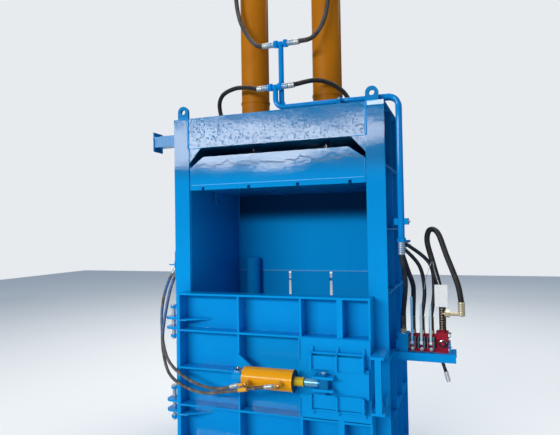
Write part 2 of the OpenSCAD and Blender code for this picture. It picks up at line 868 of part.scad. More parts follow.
// Turns its child so that its Z axis points along a, with its X axis along b
module turned(at, a, b) {
    c = cross(a, b);
    multmatrix([[b[0], c[0], a[0], at[0]], [b[1], c[1], a[1], at[1]], [b[2], c[2], a[2], at[2]],
        [0, 0, 0, 1]]) children();
}

// A pipe along straight runs parallel to the axes, with a bend at every corner
module pipe_run(p, d, r) {
    n = len(p);
    for (i = [0 : n - 2]) {
        a = unit(p[i + 1] - p[i]);
        start = i == 0 ? p[i] : p[i] + r * a;
        end = i == n - 2 ? p[i + 1] : p[i + 1] - r * a;
        turned(start, a, abs(a[2]) < 0.5 ? [0, 0, 1] : [1, 0, 0])
            cylinder(d = d, h = norm(end - start), $fn = 48);
        if (i < n - 2) turned(end, a, unit(p[i + 2] - p[i + 1])) bend(d, r);
    }
}

module pressure_pipes() {
    color("royalblue") at_body()
        for (i = [0, 1]) {
            pipe_run([[riser_x[i], pipe_y[i], tee_z[i] - pipe_d / 2], [riser_x[i], pipe_y[i], run_z],
                [pipe_x, pipe_y[i], run_z], [pipe_x, pipe_y[i], pipe_end_z]], pipe_d, pipe_bend);
            translate([pipe_x, pipe_y[i], pipe_end_z - pipe_ferrule])
                cylinder(d = main_hose_d + 2, h = pipe_ferrule + 1, $fn = 48);
        }
}

module pipe_tees() {
    half = 46;
    color("royalblue") at_body()
        for (i = [0, 1]) translate([riser_x[i], pipe_y[i], tee_z[i]]) {
            translate([-half, 0, 0]) bar_x(pipe_d, 2 * half);
            translate([0, 0, -pipe_d / 2]) cylinder(d = pipe_d + 8, h = pipe_d / 2 + 10, $fn = 48);
            for (s = [-1, 1]) on_side(s) {
                translate([20, 0, 0]) rotate([0, 90, 0]) cylinder(d = pipe_d + 12, h = 26, $fn = 6);
                translate([half, 0, 0]) bar_x(main_hose_d + 6, tee_ferrule);
            }
        }
}

module pipe_clamps() {
    fit = 0.2;
    side = pipe_d / 2 + 24;
    arm_t = 8;
    rear_y = pipe_y[1] + pipe_d / 2 + 8;
    color("dodgerblue") at_body() {
        translate([pipe_x, 0, pipe_end_z + clamp_rise]) {
            difference() {
                translate([-side, pipe_y[0], 0]) cube([2 * side, rear_y - pipe_y[0], clamp_h]);
                for (y = pipe_y)
                    translate([0, y, -1]) cylinder(d = pipe_d + 2 * fit, h = clamp_h + 2, $fn = 48);
            }
            translate([-side, rear_y - 1, 0]) cube([arm_t, bay_y[1] - rear_y + 1, clamp_h]);
            translate([half_out - pipe_x, bay_y[1] - rib_t, 0])
                cube([pipe_x - half_out - side + 1, rib_t, clamp_h]);
        }
        translate([half_in - clamp_in, 0, body_h]) difference() {
            translate([0, 2, 0]) cube([24, rear_y - 2, run_z - body_h]);
            for (y = pipe_y) translate([-1, y, run_z - body_h]) bar_x(pipe_d + 2 * fit, 26);
        }
    }
}

// A round tube swept along a list of points, as one closed mesh
function unit(v) = v / norm(v);
function tangent(p, i) = unit(p[min(i + 1, len(p) - 1)] - p[max(i - 1, 0)]);
function side_of(p, i) = i == 0
    ? unit(cross(tangent(p, 0), [0.31, 0.17, 0.93]))
    : let (t = tangent(p, i), s = side_of(p, i - 1)) unit(s - t * (s * t));
function ring_of(p, i, r, n) = let (t = tangent(p, i), u = side_of(p, i), v = cross(t, u))
    [for (k = [0 : n - 1]) p[i] + r * (cos(360 * k / n) * u + sin(360 * k / n) * v)];

module tube(p, d, n = 8) {
    m = len(p);
    quads = [for (i = [0 : m - 2], k = [0 : n - 1])
        [i * n + k, i * n + (k + 1) % n, (i + 1) * n + (k + 1) % n, (i + 1) * n + k]];
    first = [for (k = [n - 1 : -1 : 0]) k];
    last = [for (k = [0 : n - 1]) (m - 1) * n + k];
    polyhedron([for (i = [0 : m - 1]) each ring_of(p, i, d / 2, n)], concat([first], quads, [last]),
        convexity = 6);
}

// Routes of the main cylinders' hoses, from the middle of the body's top front edge
high_left = [[-48.3, 102, 458], [-85, 104, 460], [-165, 165, 500], [-255, 225, 605], [-325, 248, 750],
    [-348, 250, 940], [-315, 230, 1100], [-270, 240, 1145], [-270, 278.2, 1145]];
high_right = [[124.3, 102, 458], [160, 104, 460], [230, 180, 502], [290, 232, 610], [322, 250, 750],
    [335, 250, 940], [315, 230, 1100], [270, 240, 1145], [270, 278.2, 1145]];
low_left = [[-76.3, 62, 165], [-120, 75, 170], [-240, 165, 216], [-360, 225, 236], [-480, 285, 215],
    [-528, 330, 140], [-505, 375, 0], [-440, 400, -54], [-391.8, 400, -54]];
low_right = [[96.3, 62, 165], [140, 75, 172], [240, 190, 218], [330, 265, 206], [410, 320, 145],
    [455, 360, 40], [460, 392, -40], [432, 400, -54], [391.8, 400, -54]];

// Routes beside the body, from the foot of the right column's outer edge
pump_route = [[290, 275, 1062], [272, 282, 1190], [237, 305, 1330], [205, 335, 1460], [222, 340, 1530],
    [272, 315, 1510], [322, 285, 1370], [382, 268, 1200], [401, 268, 1090]];
port_route = [[76, 62, 1386.7], [84, 80, 1300], [87, 130, 1210], [72, 215, 1115], [55, 255, 1001.3]];
first_route = [[76, 102, 1386.7], [100, 150, 1290], [120, 228, 1200], [118, 292, 1130], [112, 290, 991.3]];
section_left = [[36, 337.7, 1416], [72, 314, 1404], [159, 300, 1300], [185, 295, 1150], [167, 290, 991.3]];
section_right = [[36, 377.7, 1446], [80, 352, 1436], [217, 325, 1320], [242, 302, 1160], [222, 290, 991.3]];
tip_route = [[281, 300, 773.7], [281, 300, 722], [300, 300, 655]];
wire_right = [[277, 223.5, 1196.3], [255, 250, 1265], [240, 286.8, 1333]];
wire_left = [[231, 286.8, 1330], [199, 279, 1240], [184, 281.8, 1160]];

// Routes of the door lock's hoses, from the front face's centre on the floor
lock_high = [[-half_out - 87, 150, 1290], [-half_out - 127, 122, 1210], [-half_out - 151, 90, 1100],
    [-half_out - 149, 55, 980], [-half_out - 129, 25, 865], [-half_out - 87, -30, 740],
    [-700, -120, 625], [-570, -170, 568], [-400, -215, 550], [-220, -255, 585],
    [-60, -285, 625], [95, -291, 655]];
lock_low = [[-half_out - 52, 130, 1290], [-half_out - 92, 118, 1204], [-half_out - 113, 86, 1087],
    [-half_out - 117, 20, 870], [-half_out - 82, -30, 780], [-700, -112, 692], [-570, -165, 628],
    [-420, -205, 592], [-280, -250, 595], [-130, -286, 640]];

// A straight stub in line with the last stretch of a hose
module end_stub(route, d, reach) {
    last = len(route) - 1;
    a = unit(route[last] - route[last - 1]);
    turned(route[last] + 0.3 * a, a, unit(cross(a, [0, 1, 0]))) cylinder(d = d, h = reach, $fn = 32);
}

module main_hoses() {
    color("#181818") at_body() translate([0, 0, body_h]) {
        tube(high_left, main_hose_d);
        tube(high_right, main_hose_d);
        tube(low_left, main_hose_d);
        tube(low_right, main_hose_d);
    }
}

module lock_hoses() {
    color("#3a3a36") at_body() {
        tube(lock_high, lock_hose_d);
        tube(lock_low, lock_hose_d);
    }
}

// Plate, unions and pipes that feed the lock's hoses

module side_bulkhead() {
    top_z = lock_high[0][2];
    color("dodgerblue") at_body() {
        translate([lock_high[0][0] - 28, lock_low[0][1] - 30, top_z + 20])
            cube([-half_out - lock_high[0][0] + 28, 80, 8]);
        translate([-half_out - 6, 0, top_z - 60]) cube([6, flange_t + lock_low[0][1] + 30, 81]);
        for (p = [lock_high[0], lock_low[0]]) translate([p[0], p[1], top_z]) {
            cylinder(d = lock_hose_d + 8, h = 20, $fn = 6);
            translate([0, 0, 28]) cylinder(d = lock_hose_d + 8, h = 20, $fn = 6);
        }
    }
}

module lock_pipes() {
    start_z = lock_high[0][2] + 48;
    start = [lock_high[0], lock_low[0]];
    end = [section_left[0], section_right[0]];
    out = 36;
    color("royalblue") at_body()
        for (i = [0, 1])
            pipe_run([[start[i][0], start[i][1], start_z], [start[i][0], start[i][1], end[i][2]],
                [start[i][0], body_d + out, end[i][2]], [half_out + out, body_d + out, end[i][2]],
                [half_out + out, end[i][1] + 0.3, end[i][2]]], lock_pipe_d, lock_pipe_d * 1.4);
}

module pump_hose() {
    color("#181818") at_body() translate([half_out, 0, 0]) tube(pump_route, pump_hose_d);
}

// Valve bank

module valve_shelf() {
    color("dodgerblue") at_body() translate([half_out, lever_y - 10, 0]) {
        translate([0, 0, shelf_z - 8]) cube([shelf_l, shelf_w, 8]);
        for (y = [0, shelf_w - 8])
            translate([0, y, shelf_z - shelf_edge]) cube([shelf_l, 8, shelf_edge - 7]);
        translate([25, 20, shelf_z]) cube([60, 90, section_h + 4]);
        translate([21, 16, shelf_z + section_h + 4]) cube([68, 98, 10]);
        translate([shelf_l - 40, 20, shelf_z]) cube([8, 90, 66]);
    }
}

module valve_block() {
    front = valve_y - 22;
    reach = front - lever_y + 10;
    color("firebrick") at_body() {
        valve_inlet();
        for (x = lever_x) {
            translate([x - section_pitch / 2 + 0.5, front, shelf_z])
                cube([section_pitch - 1, 84, section_h]);
            for (s = [-1, 1])
                translate([x + s * (lever_hub / 2 + 4.5) - 3, front - reach, lever_z - 11])
                    cube([6, reach + 1, 22]);
            translate([x - lever_hub / 2 - 7, lever_y, lever_z]) bar_x(lever_pin_d, lever_hub + 14);
            translate([x - 16, front - 14, shelf_z + 10]) cube([32, 15, 26]);
            translate([x, ferrule_y, shelf_z + section_h - 1]) cylinder(d = 38, h = 9, $fn = 48);
        }
    }
}

module valve_inlet() {
    translate([inlet_x, valve_y - 30, shelf_z]) {
        cube([72, 100, section_h + 24]);
        translate([40, -10, 58]) bar_y(40, 12);
        translate([40, 40, section_h + 23]) cylinder(d = 44, h = 12, $fn = 6);
    }
}

module valve_fittings() {
    riser = pump_route[0];
    elbow = pump_route[len(pump_route) - 1];
    color("darkkhaki") at_body() {
        for (x = lever_x) translate([x, ferrule_y, shelf_z + section_h + 8]) {
            cylinder(d = 34, h = 22, $fn = 6);
            translate([0, 0, 21]) cylinder(d = 26, h = 84, $fn = 48);
        }
        translate([end_port_x, end_port_y, shelf_z + section_h + 14]) {
            cylinder(d = 40, h = 24, $fn = 6);
            translate([0, 0, 23]) cylinder(d = 28, h = 86, $fn = 48);
        }
        translate([half_out, 0, 0]) {
            translate([riser[0], riser[1], shelf_z + section_h + 35])
                cylinder(d = pump_hose_d, h = riser[2] - shelf_z - section_h - 35.3, $fn = 48);
            translate([elbow[0], elbow[1], elbow[2] - 86]) {
                cylinder(d = pump_hose_d + 4, h = 85.7, $fn = 48);
                translate([riser[0] - elbow[0], 0, 12]) bar_x(24, elbow[0] - riser[0]);
                translate([riser[0] - elbow[0] + 14, 0, 12]) rotate([0, 90, 0])
                    cylinder(d = 46, h = 28, $fn = 6);
            }
            end_stub(tip_route, 24, 62);
        }
    }
}

module valve_hoses() {
    color("#181818") at_body() translate([half_out, 0, 0]) {
        tube(port_route, main_hose_d);
        tube(first_route, main_hose_d);
        tube(section_left, lock_hose_d + 4);
        tube(section_right, lock_hose_d + 4);
        tube(tip_route, lock_hose_d);
    }
}

// Card on wires

module hanging_card() {
    color("white") at_body() translate([half_out + 249, 222, 1062]) cube([card_w, card_t, card_h]);
}

module card_wires() {
    color("gray") at_body() translate([half_out, 0, 0]) {
        tube(wire_right, card_wire_d);
        tube(wire_left, card_wire_d);
    }
}

module lever(i) {
    l = i == 0 ? lever_long : lever_short;
    color("silver") at_body() translate([lever_x[i], lever_y, lever_z]) {
        difference() {
            union() {
                translate([-lever_hub / 2, 0, 0]) bar_x(24, lever_hub);
                cylinder(d = lever_d, h = l, $fn = 32);
            }
            translate([-lever_hub, 0, 0]) bar_x(lever_pin_d + 2 * run_gap, 2 * lever_hub);
        }
        translate([0, 0, l]) sphere(d = lever_d, $fn = 32);
    }
}

base_frame();
floor_plate();
floor_bars();
wall_plate(-1);  // left_wall_plate
wall_plate(1);  // right_wall_plate
wall_posts(-1);  // left_wall_posts
wall_posts(1);  // right_wall_posts
wall_rails(-1);  // left_wall_rails
wall_rails(1);  // right_wall_rails
column(-1);  // left_column
column(1);  // right_column
back_wall_upper();
back_wall_lower();
back_wall_ribs();
head_beam(0);  // front_head_beam
head_beam(body_d - flange_t);  // rear_head_beam
crown_plate();
crown_webs();
lifting_lugs();
main_barrel(-1);  // left_barrel
main_barrel(1);  // right_barrel
cylinder_head(-1);  // left_cylinder_head
cylinder_head(1);  // right_cylinder_head
flange_bolts();
rear_housing();
stub_bracket();
hinge_brackets();
hinge_pins();
strike_brackets();
strike_bar();
pressure_pipes();
pipe_clamps();
pipe_tees();
main_hoses();
valve_shelf();
valve_block();
valve_fittings();
valve_hoses();
hanging_card();
card_wires();
pump_hose();
side_bulkhead();
lock_pipes();
lock_hoses();
platen_box();
platen_webs();
main_rod(-1);  // left_rod
main_rod(1);  // right_rod
door_panel();
door_ribs();
door_ears();
lock_keepers();
lock_barrel();
lock_gland();
lock_tail();
lock_bar();
lock_rod();
lever(0);  // lever_1
lever(1);  // lever_2
lever(2);  // lever_3
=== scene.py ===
"""A blue vertical baler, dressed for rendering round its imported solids."""

import math

import bmesh
import bpy
from mathutils import Matrix, Vector


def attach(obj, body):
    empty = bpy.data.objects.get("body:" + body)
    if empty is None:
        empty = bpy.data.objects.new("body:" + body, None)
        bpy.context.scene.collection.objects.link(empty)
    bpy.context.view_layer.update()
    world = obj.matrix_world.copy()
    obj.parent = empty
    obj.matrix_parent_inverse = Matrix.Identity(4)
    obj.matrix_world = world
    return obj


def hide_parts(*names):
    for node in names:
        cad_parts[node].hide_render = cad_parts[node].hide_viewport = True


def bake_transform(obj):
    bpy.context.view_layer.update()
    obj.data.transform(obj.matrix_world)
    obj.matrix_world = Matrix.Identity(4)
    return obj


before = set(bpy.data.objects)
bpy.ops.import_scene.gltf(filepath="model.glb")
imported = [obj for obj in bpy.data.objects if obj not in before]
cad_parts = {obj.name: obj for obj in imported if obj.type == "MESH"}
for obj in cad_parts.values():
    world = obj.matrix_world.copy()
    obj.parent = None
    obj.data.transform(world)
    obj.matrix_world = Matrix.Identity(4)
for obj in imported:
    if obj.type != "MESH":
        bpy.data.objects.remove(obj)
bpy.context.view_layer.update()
scene = bpy.context.scene

# The body's depth and the place of its front face, in metres
BODY_DEPTH = 0.92
FRONT = -BODY_DEPTH / 2

# Sizes and places that the solids have too, in millimetres from the middle of the front face on the floor
CHAMBER_HALF = 600
COLUMN_MIDDLE = 642
BODY_TOP = 2310
HEAD_BOTTOM = 2106
RIB_ROW = 385
DOOR_FACE = -17.5
DOOR_RIB_HALF = 6
DOOR_LEVELS = (191, 425, 665, 905, 1139)
DOOR_BAYS = ((-616, -205), (-193, 202), (214, 431), (465, 616))
LOCK_Y, LOCK_Z = -193, 665
LOCK_TAIL_X = -168
RETAINER_XS = (281, 433, 585)
LOW_TEE = (10, 62, 2475)
HIGH_TEE = (38, 102, 2768)
PIPES_X, PIPES_Y = 789, (62, 102)
SECTION_XS = (825, 880, 935)
SECTION_PORT_Y = 290
LEVER_Y, LEVER_Z = 205, 842
INLET_X = 1003
SIDES = (-1, 1)

# Outside diameters of the hoses and of the card's wires, in millimetres
MAIN_HOSE = 30
SECTION_HOSE = 24
SHELF_HOSE = 20
LOCK_HOSE = 20
PUMP_HOSE = 34
WIRE = 4

# Points of a mesh that are closer than this, in metres, are one
POINT_GAP = 1e-6


def at(x, y, z):
    """A point given in millimetres from the middle of the body's front face on the floor."""
    return Vector((x / 1000, FRONT + y / 1000, z / 1000))


# Shader helpers


class Value:
    """A node's output, on which the usual operators add Math nodes."""

    def __init__(self, tree, socket):
        self.tree = tree
        self.socket = socket

    def math(self, operation, a, b=0.0, clamp=False):
        node = self.tree.nodes.new("ShaderNodeMath")
        node.operation = operation
        node.use_clamp = clamp
        for socket, value in zip(node.inputs, (a, b)):
            feed(self.tree, socket, value)
        return Value(self.tree, node.outputs[0])

    def __add__(self, other):
        return self.math("ADD", self, other)

    __radd__ = __add__

    def __mul__(self, other):
        return self.math("MULTIPLY", self, other)

    __rmul__ = __mul__

    def __sub__(self, other):
        return self.math("SUBTRACT", self, other)

    def __rsub__(self, other):
        return self.math("SUBTRACT", other, self)

    def size(self):
        return self.math("ABSOLUTE", self)

    def clamped(self):
        return self.math("ADD", self, 0.0, clamp=True)


def feed(tree, socket, value):
    """Links a value to a socket, or sets the socket to a constant."""
    if isinstance(value, Value):
        tree.links.new(value.socket, socket)
    else:
        socket.default_value = value


class Finish:
    """One material: a Principled shader, and a short way to add nodes in front of it."""

    def __init__(self, name):
        self.material = bpy.data.materials.new(name)
        self.material.use_nodes = True
        self.tree = self.material.node_tree
        self.shader = self.tree.nodes["Principled BSDF"]
        self.place = self.node("ShaderNodeTexCoord", output="Object")

    def node(self, kind, output=0, settings=None, **values):
        """Any node: its type, which output is wanted, its settings, and the values of its sockets."""
        node = self.tree.nodes.new(kind)
        for key, setting in (settings or {}).items():
            setattr(node, key, setting)
        for key, value in values.items():
            feed(self.tree, node.inputs[key.replace("_", " ")], value)
        return Value(self.tree, node.outputs[output])

    def noise(self, scale, detail=3.0, rough=0.5, stretch=None, distortion=0.0):
        """Cloudy values from nothing to one, which a stretch below one draws out along that axis."""
        vector = self.place
        if stretch:
            vector = self.node("ShaderNodeMapping", Vector=self.place, Scale=stretch)
        return self.node("ShaderNodeTexNoise", Vector=vector, Scale=scale, Detail=detail,
                         Roughness=rough, Distortion=distortion)

    def cells(self, scale):
        """Distance from the nearest of many scattered points."""
        return self.node("ShaderNodeTexVoronoi", Vector=self.place, Scale=scale)

    def band(self, value, low, high):
        """A smooth step from nothing at low to one at high."""
        settings = {"interpolation_type": "SMOOTHSTEP"}
        return self.node("ShaderNodeMapRange", settings=settings, Value=value, From_Min=low, From_Max=high)

    def mix(self, factor, a, b):
        """Goes from colour a to colour b with the factor."""
        node = self.tree.nodes.new("ShaderNodeMix")
        node.data_type = "RGBA"
        feed(self.tree, node.inputs[0], factor)
        for socket, colour in ((node.inputs[6], a), (node.inputs[7], b)):
            feed(self.tree, socket, colour if isinstance(colour, Value) else (*colour, 1.0))
        return Value(self.tree, node.outputs[2])

    def along(self, axis):
        """The place along one axis, in metres."""
        return self.node("ShaderNodeSeparateXYZ", output="XYZ".index(axis), Vector=self.place)

    def bump(self, height, distance, strength, under=None):
        """A normal for relief of some height in metres, over the relief that lies under it."""
        values = {"Height": height, "Distance": distance, "Strength": strength}
        if under:
            values["Normal"] = under
        return self.node("ShaderNodeBump", output="Normal", **values)

    def set(self, **values):
        """Sets the shader's sockets and gives the material."""
        for key, value in values.items():
            if isinstance(value, tuple):
                value = (*value, 1.0)
            feed(self.tree, self.shader.inputs[key.replace("_", " ")], value)
        return self.material


# Colours, of which the finishes mix several
AZURE = (0.003, 0.285, 0.69)
DEEP_AZURE = (0.002, 0.215, 0.56)
# The next two blues are painted shade, for the upper body and for the head
UPPER_PAINTED_SHADE_AZURE = (0.002, 0.20, 0.50)
HEAD_PAINTED_SHADE_BLUE = (0.002, 0.14, 0.36)
DUSTED_BLUE = (0.42, 0.62, 0.80)
SCUFFED_BLUE = (0.25, 0.48, 0.72)
SPECKLE_BLUE = (0.004, 0.10, 0.27)
SAG_BLUE = (0.01, 0.07, 0.16)
ORANGE = (0.80, 0.34, 0.002)
SHADOW = (0.012, 0.014, 0.03)

# Heights in metres over which painted shade darkens the blue upward, first to its upper colour and then to
# the colour at the head
UPPER_PAINTED_SHADE_RISE = (1.2, 1.8)
HEAD_PAINTED_SHADE_RISE = (1.86, 1.99)


def enamel(name, colour, deep, waves=1.0, specks=0.5, shine=0.76, top=None, shade_rise=HEAD_PAINTED_SHADE_RISE,
           speckled=False, sags=()):
    """Sprayed gloss enamel on hot-rolled plate, with runs, peel, dust and waves.

    When a top colour is given, painted shade darkens the colour upward, partly to a deeper blue and then
    fully to the top colour between the two heights of shade_rise. A speckled plate has dry spray in coarse
    dots. A sag is a line in the paint: its height, its swing and how much of its length is bare of it. Dots
    and sags are duller than the rest.
    """
    f = Finish(name)
    broad = f.noise(1.7, 3)
    cloud = f.noise(9, 4, 0.6)
    runs = f.noise(14, 4, 0.65, stretch=(1, 1, 0.12))
    dust = f.band(f.cells(170), 0.10, 0.03) * f.band(f.noise(6, 2), 0.46, 0.62) * specks
    scuff = f.band(f.noise(34, 6, 0.75, distortion=0.6), 0.62, 0.74) * f.band(f.noise(3.1, 2), 0.5, 0.68)
    base = f.mix((broad * 0.55 + cloud * 0.45 - 0.22).clamped(), colour, deep)
    base = f.mix((runs - 0.5).clamped() * 0.5, base, tuple(c * 0.72 for c in colour))
    base = f.mix(dust * 0.7, base, DUSTED_BLUE)
    base = f.mix(scuff * 0.13, base, SCUFFED_BLUE)
    # Painted shade: the blue darkens with height, partly over the upper body and fully at the top
    if top:
        base = f.mix(f.band(f.along("Z"), *UPPER_PAINTED_SHADE_RISE) * 0.6, base, UPPER_PAINTED_SHADE_AZURE)
        base = f.mix(f.band(f.along("Z"), *shade_rise), base, top)
    normal = f.bump(f.noise(2.6, 2), 0.004 * waves, 0.8)
    normal = f.bump(f.noise(38, 3, 0.6), 0.00030 * waves, 0.8, under=normal)
    normal = f.bump(f.noise(88, 2, 0.6), 0.00020 * waves, 0.8, under=normal)
    normal = f.bump(f.noise(330, 3, 0.7), 0.00004, 0.8, under=normal)
    matt = 0.03
    if speckled:
        dots = f.band(f.cells(58), 0.44, 0.26) * f.band(f.noise(15, 3, 0.7), 0.34, 0.54)
        normal = f.bump(f.noise(64, 3, 0.75), 0.00024, 0.9, under=normal)
        base = f.mix(dots * 0.75, base, SPECKLE_BLUE)
        matt = dots * 0.5 + matt
    for height, swing, bare in sags:
        way = f.noise(7.5, 4, 0.62, stretch=(1, 0, 0)) * 2 - 1
        off = (f.along("Z") - height - way * swing).size()
        line = f.band(off, 0.0058, 0.0020) * f.band(f.noise(2.3, 2, stretch=(1, 0, 0)), bare, bare + 0.03)
        base = f.mix(line * 0.8, base, SAG_BLUE)
        matt = line * 0.45 + matt
    return f.set(Base_Color=base, Roughness=matt, Normal=normal, IOR=1.29, Specular_IOR_Level=0.5 * shine)


def cylinder_paint(name, colour, deep, zones=()):
    """Thick gloss enamel on turned steel, with fine drag lines along it.

    A zone is another paint on all that lies left of a border: the paint and the border's two edges.
    """
    f = Finish(name)
    drift = f.noise(7, 4, 0.6)
    runs = f.noise(60, 3, 0.6, stretch=(1, 1, 0.03))
    base = f.mix((drift - 0.25).clamped(), colour, deep)
    base = f.mix((runs - 0.55).clamped() * 0.9, base, tuple(c * 0.6 for c in colour))
    for paint, low, high in zones:
        base = f.mix(f.band(f.along("X"), low, high), paint, base)
    normal = f.bump(f.noise(380, 2) * 0.4 + drift, 0.0012, 0.6)
    return f.set(Base_Color=base, Roughness=0.34 + drift * 0.16, Normal=normal, Coat_Weight=1.0,
                 Coat_Roughness=0.08, Coat_IOR=1.25, Specular_IOR_Level=0.1)


def metal(name, colour, rough, tarnish=(0.2, 0.19, 0.18), amount=0.35, metallic=1.0, painted_from=None):
    """Plated or ground metal with patchy dulling, painted blue right of a place when one is given."""
    f = Finish(name)
    patch = f.band(f.noise(40, 5, 0.7), 0.45, 0.75) * amount
    base = f.mix(patch, colour, tarnish)
    if painted_from:
        base = f.mix(f.band(f.along("X"), painted_from, painted_from + 0.001), base, (0.003, 0.20, 0.52))
    return f.set(Base_Color=base, Metallic=metallic, Roughness=rough + patch * 0.4,
                 Normal=f.bump(f.noise(360, 2), 0.0006, 0.4))


def rubber(name, colour, dusty, amount, spray=0.0):
    """Hose rubber with a wrapped-cloth texture, dust in its low places, and stray paint and rust on some."""
    f = Finish(name)
    dust = f.band(f.noise(26, 5, 0.7), 0.35, 0.8) * amount
    weave = f.node("ShaderNodeTexWave", settings={"wave_type": "BANDS", "bands_direction": "DIAGONAL"},
                   output=1, Vector=f.place, Scale=160.0, Distortion=1.5, Detail=1.0)
    base = f.mix(dust, colour, dusty)
    if spray:
        stray = f.band(f.noise(9, 3, 0.6), 0.48, 0.60) * f.band(f.along("Z"), 0.72, 1.0) * spray
        base = f.mix(stray, base, (0.02, 0.16, 0.42))
        base = f.mix(f.band(f.noise(31, 4, 0.7), 0.56, 0.66) * spray, base, (0.36, 0.20, 0.15))
    return f.set(Base_Color=base, Roughness=0.5 + dust * 0.3, Normal=f.bump(weave + dust, 0.0007, 0.5))


def sleeved_card():
    f = Finish("card_in_sleeve")
    stain = f.band(f.noise(30, 4, 0.6), 0.5, 0.75)
    return f.set(Base_Color=f.mix(stain * 0.4, (0.74, 0.745, 0.75), (0.52, 0.53, 0.54)), Roughness=0.35,
                 Normal=f.bump(f.noise(18, 2), 0.003, 0.5))


def yellow_tape():
    f = Finish("yellow_tape")
    folds = f.noise(140, 3)
    return f.set(Base_Color=f.mix(folds, (0.80, 0.42, 0.02), (0.62, 0.28, 0.01)), Roughness=0.4,
                 Normal=f.bump(folds, 0.001, 0.6))


# Blue paints
blue = enamel("azure_enamel", AZURE, DEEP_AZURE, top=HEAD_PAINTED_SHADE_BLUE)
head_blue = enamel("head_enamel", AZURE, DEEP_AZURE, top=HEAD_PAINTED_SHADE_BLUE, shine=1.0, speckled=True,
                   sags=((2.17, 0.09, 0.54),))
platen_blue = enamel("platen_enamel", AZURE, DEEP_AZURE, top=HEAD_PAINTED_SHADE_BLUE, shine=1.0,
                     sags=((1.985, 0.10, 0.40), (1.955, 0.08, 0.60)))
# Painted shade: the back wall's blue darkens to near black between 1.58 m and 1.71 m, where the platen shades
# it
back_wall_painted_shade_blue = enamel("back_wall_painted_shade_enamel", (0.002, 0.32, 0.77), (0.001, 0.26, 0.65), top=(0.001, 0.045, 0.13),
                    shade_rise=(1.58, 1.71))
# Painted shade: a darker, duller blue for the stub bracket and the lifting lugs, standing in for the shade
# they lie in
shaded_blue = enamel("bracket_painted_shade_enamel", (0.01, 0.19, 0.46), (0.005, 0.14, 0.38), shine=0.3)
pipe_blue = enamel("pipe_enamel", (0.003, 0.22, 0.60), (0.002, 0.15, 0.46), waves=0.1)
weld_blue = enamel("weld_enamel", (0.02, 0.31, 0.74), DEEP_AZURE, waves=0.2, specks=1.0)
seam_blue = enamel("seam_enamel", (0.10, 0.42, 0.80), (0.02, 0.30, 0.70), waves=0.2, specks=1.0)
# A pale paint that is a painted highlight, for the bright line along the right column's top front
highlight_strip_white = enamel("column_top_painted_highlight", (0.62, 0.74, 0.84), (0.40, 0.58, 0.76), waves=0.4, specks=0.6)

# Paints of the cylinders, the gland and the valve. The lock barrel's tail is blue, and the lime gland's
# flange is orange, with a band of painted shadow at its end face.
orange = cylinder_paint("orange_enamel", ORANGE, (0.66, 0.26, 0.002), zones=((AZURE, -0.1232, -0.1222),))
ochre = cylinder_paint("ochre_enamel", (0.43, 0.145, 0.001), (0.30, 0.092, 0.001))
lime = cylinder_paint("gland_enamel", (0.56, 0.38, 0.01), (0.42, 0.35, 0.02),
                      zones=((SHADOW, 0.1932, 0.1938), (ORANGE, 0.1922, 0.1927)))
red = cylinder_paint("valve_enamel", (0.36, 0.012, 0.03), (0.24, 0.006, 0.02))

# Metals
zinc = metal("zinc_plate", (0.62, 0.68, 0.70), 0.4, tarnish=(0.30, 0.36, 0.38), metallic=0.6)
pale_zinc = metal("pale_zinc", (0.86, 0.88, 0.90), 0.35, tarnish=(0.5, 0.52, 0.54), metallic=0.4)
chrome = metal("ground_rod", (0.75, 0.77, 0.80), 0.12, amount=0.12)
rod_blue = metal("painted_rod", (0.16, 0.42, 0.62), 0.2, tarnish=(0.02, 0.24, 0.55), metallic=0.35,
                 painted_from=0.334)
lever_blue = metal("first_lever_paint", (0.14, 0.46, 0.76), 0.3, tarnish=(0.40, 0.62, 0.76), metallic=0.15)
lever_zinc = metal("lever_plate", (0.56, 0.70, 0.76), 0.35, tarnish=(0.36, 0.52, 0.58), metallic=0.2)
clevis_teal = metal("clevis_plate", (0.10, 0.30, 0.40), 0.35, tarnish=(0.02, 0.05, 0.08), amount=0.7,
                    metallic=0.4)
brass = metal("yellow_plate", (0.80, 0.71, 0.50), 0.3, tarnish=(0.40, 0.33, 0.2), metallic=0.6)
old_brass = metal("port_brass", (0.50, 0.29, 0.10), 0.35, tarnish=(0.20, 0.11, 0.05), metallic=0.7)
brown_steel = metal("brown_sleeves", (0.27, 0.235, 0.18), 0.4, tarnish=(0.10, 0.08, 0.06))
dark_steel = metal("dark_steel", (0.10, 0.10, 0.105), 0.45, tarnish=(0.05, 0.04, 0.04))

# Hose rubbers, card and tape
black_rubber = rubber("black_hose_rubber", (0.012, 0.012, 0.013), (0.06, 0.055, 0.05), 0.5)
worn_rubber = rubber("worn_hose_rubber", (0.035, 0.033, 0.032), (0.13, 0.12, 0.11), 0.8)
navy_rubber = rubber("valve_hose_rubber", (0.008, 0.014, 0.030), (0.035, 0.045, 0.06), 0.7)
grey_rubber = rubber("dusty_hose_rubber", (0.060, 0.055, 0.055), (0.22, 0.20, 0.18), 0.9, spray=0.75)
card = sleeved_card()
tape = yellow_tape()

# Which solids wear which finish; all others are blue
WORN_BY = {
    ochre: ["left_barrel", "right_barrel", "left_cylinder_head", "right_cylinder_head"],
    orange: ["lock_barrel"],
    lime: ["lock_gland"],
    red: ["valve_block"],
    rod_blue: ["lock_rod"],
    zinc: ["flange_bolts", "hinge_pins"],
    lever_blue: ["lever_1"],
    lever_zinc: ["lever_2", "lever_3"],
    head_blue: ["front_head_beam"],
    platen_blue: ["platen_box"],
    back_wall_painted_shade_blue: ["back_wall_upper"],
    shaded_blue: ["stub_bracket", "lifting_lugs"],
    chrome: ["left_rod", "right_rod"],
    brass: ["valve_fittings"],
    card: ["hanging_card"],
    pipe_blue: ["pressure_pipes", "pipe_tees", "lock_pipes"],
    black_rubber: ["main_hoses", "valve_hoses", "pump_hose"],
    grey_rubber: ["lock_hoses"],
}


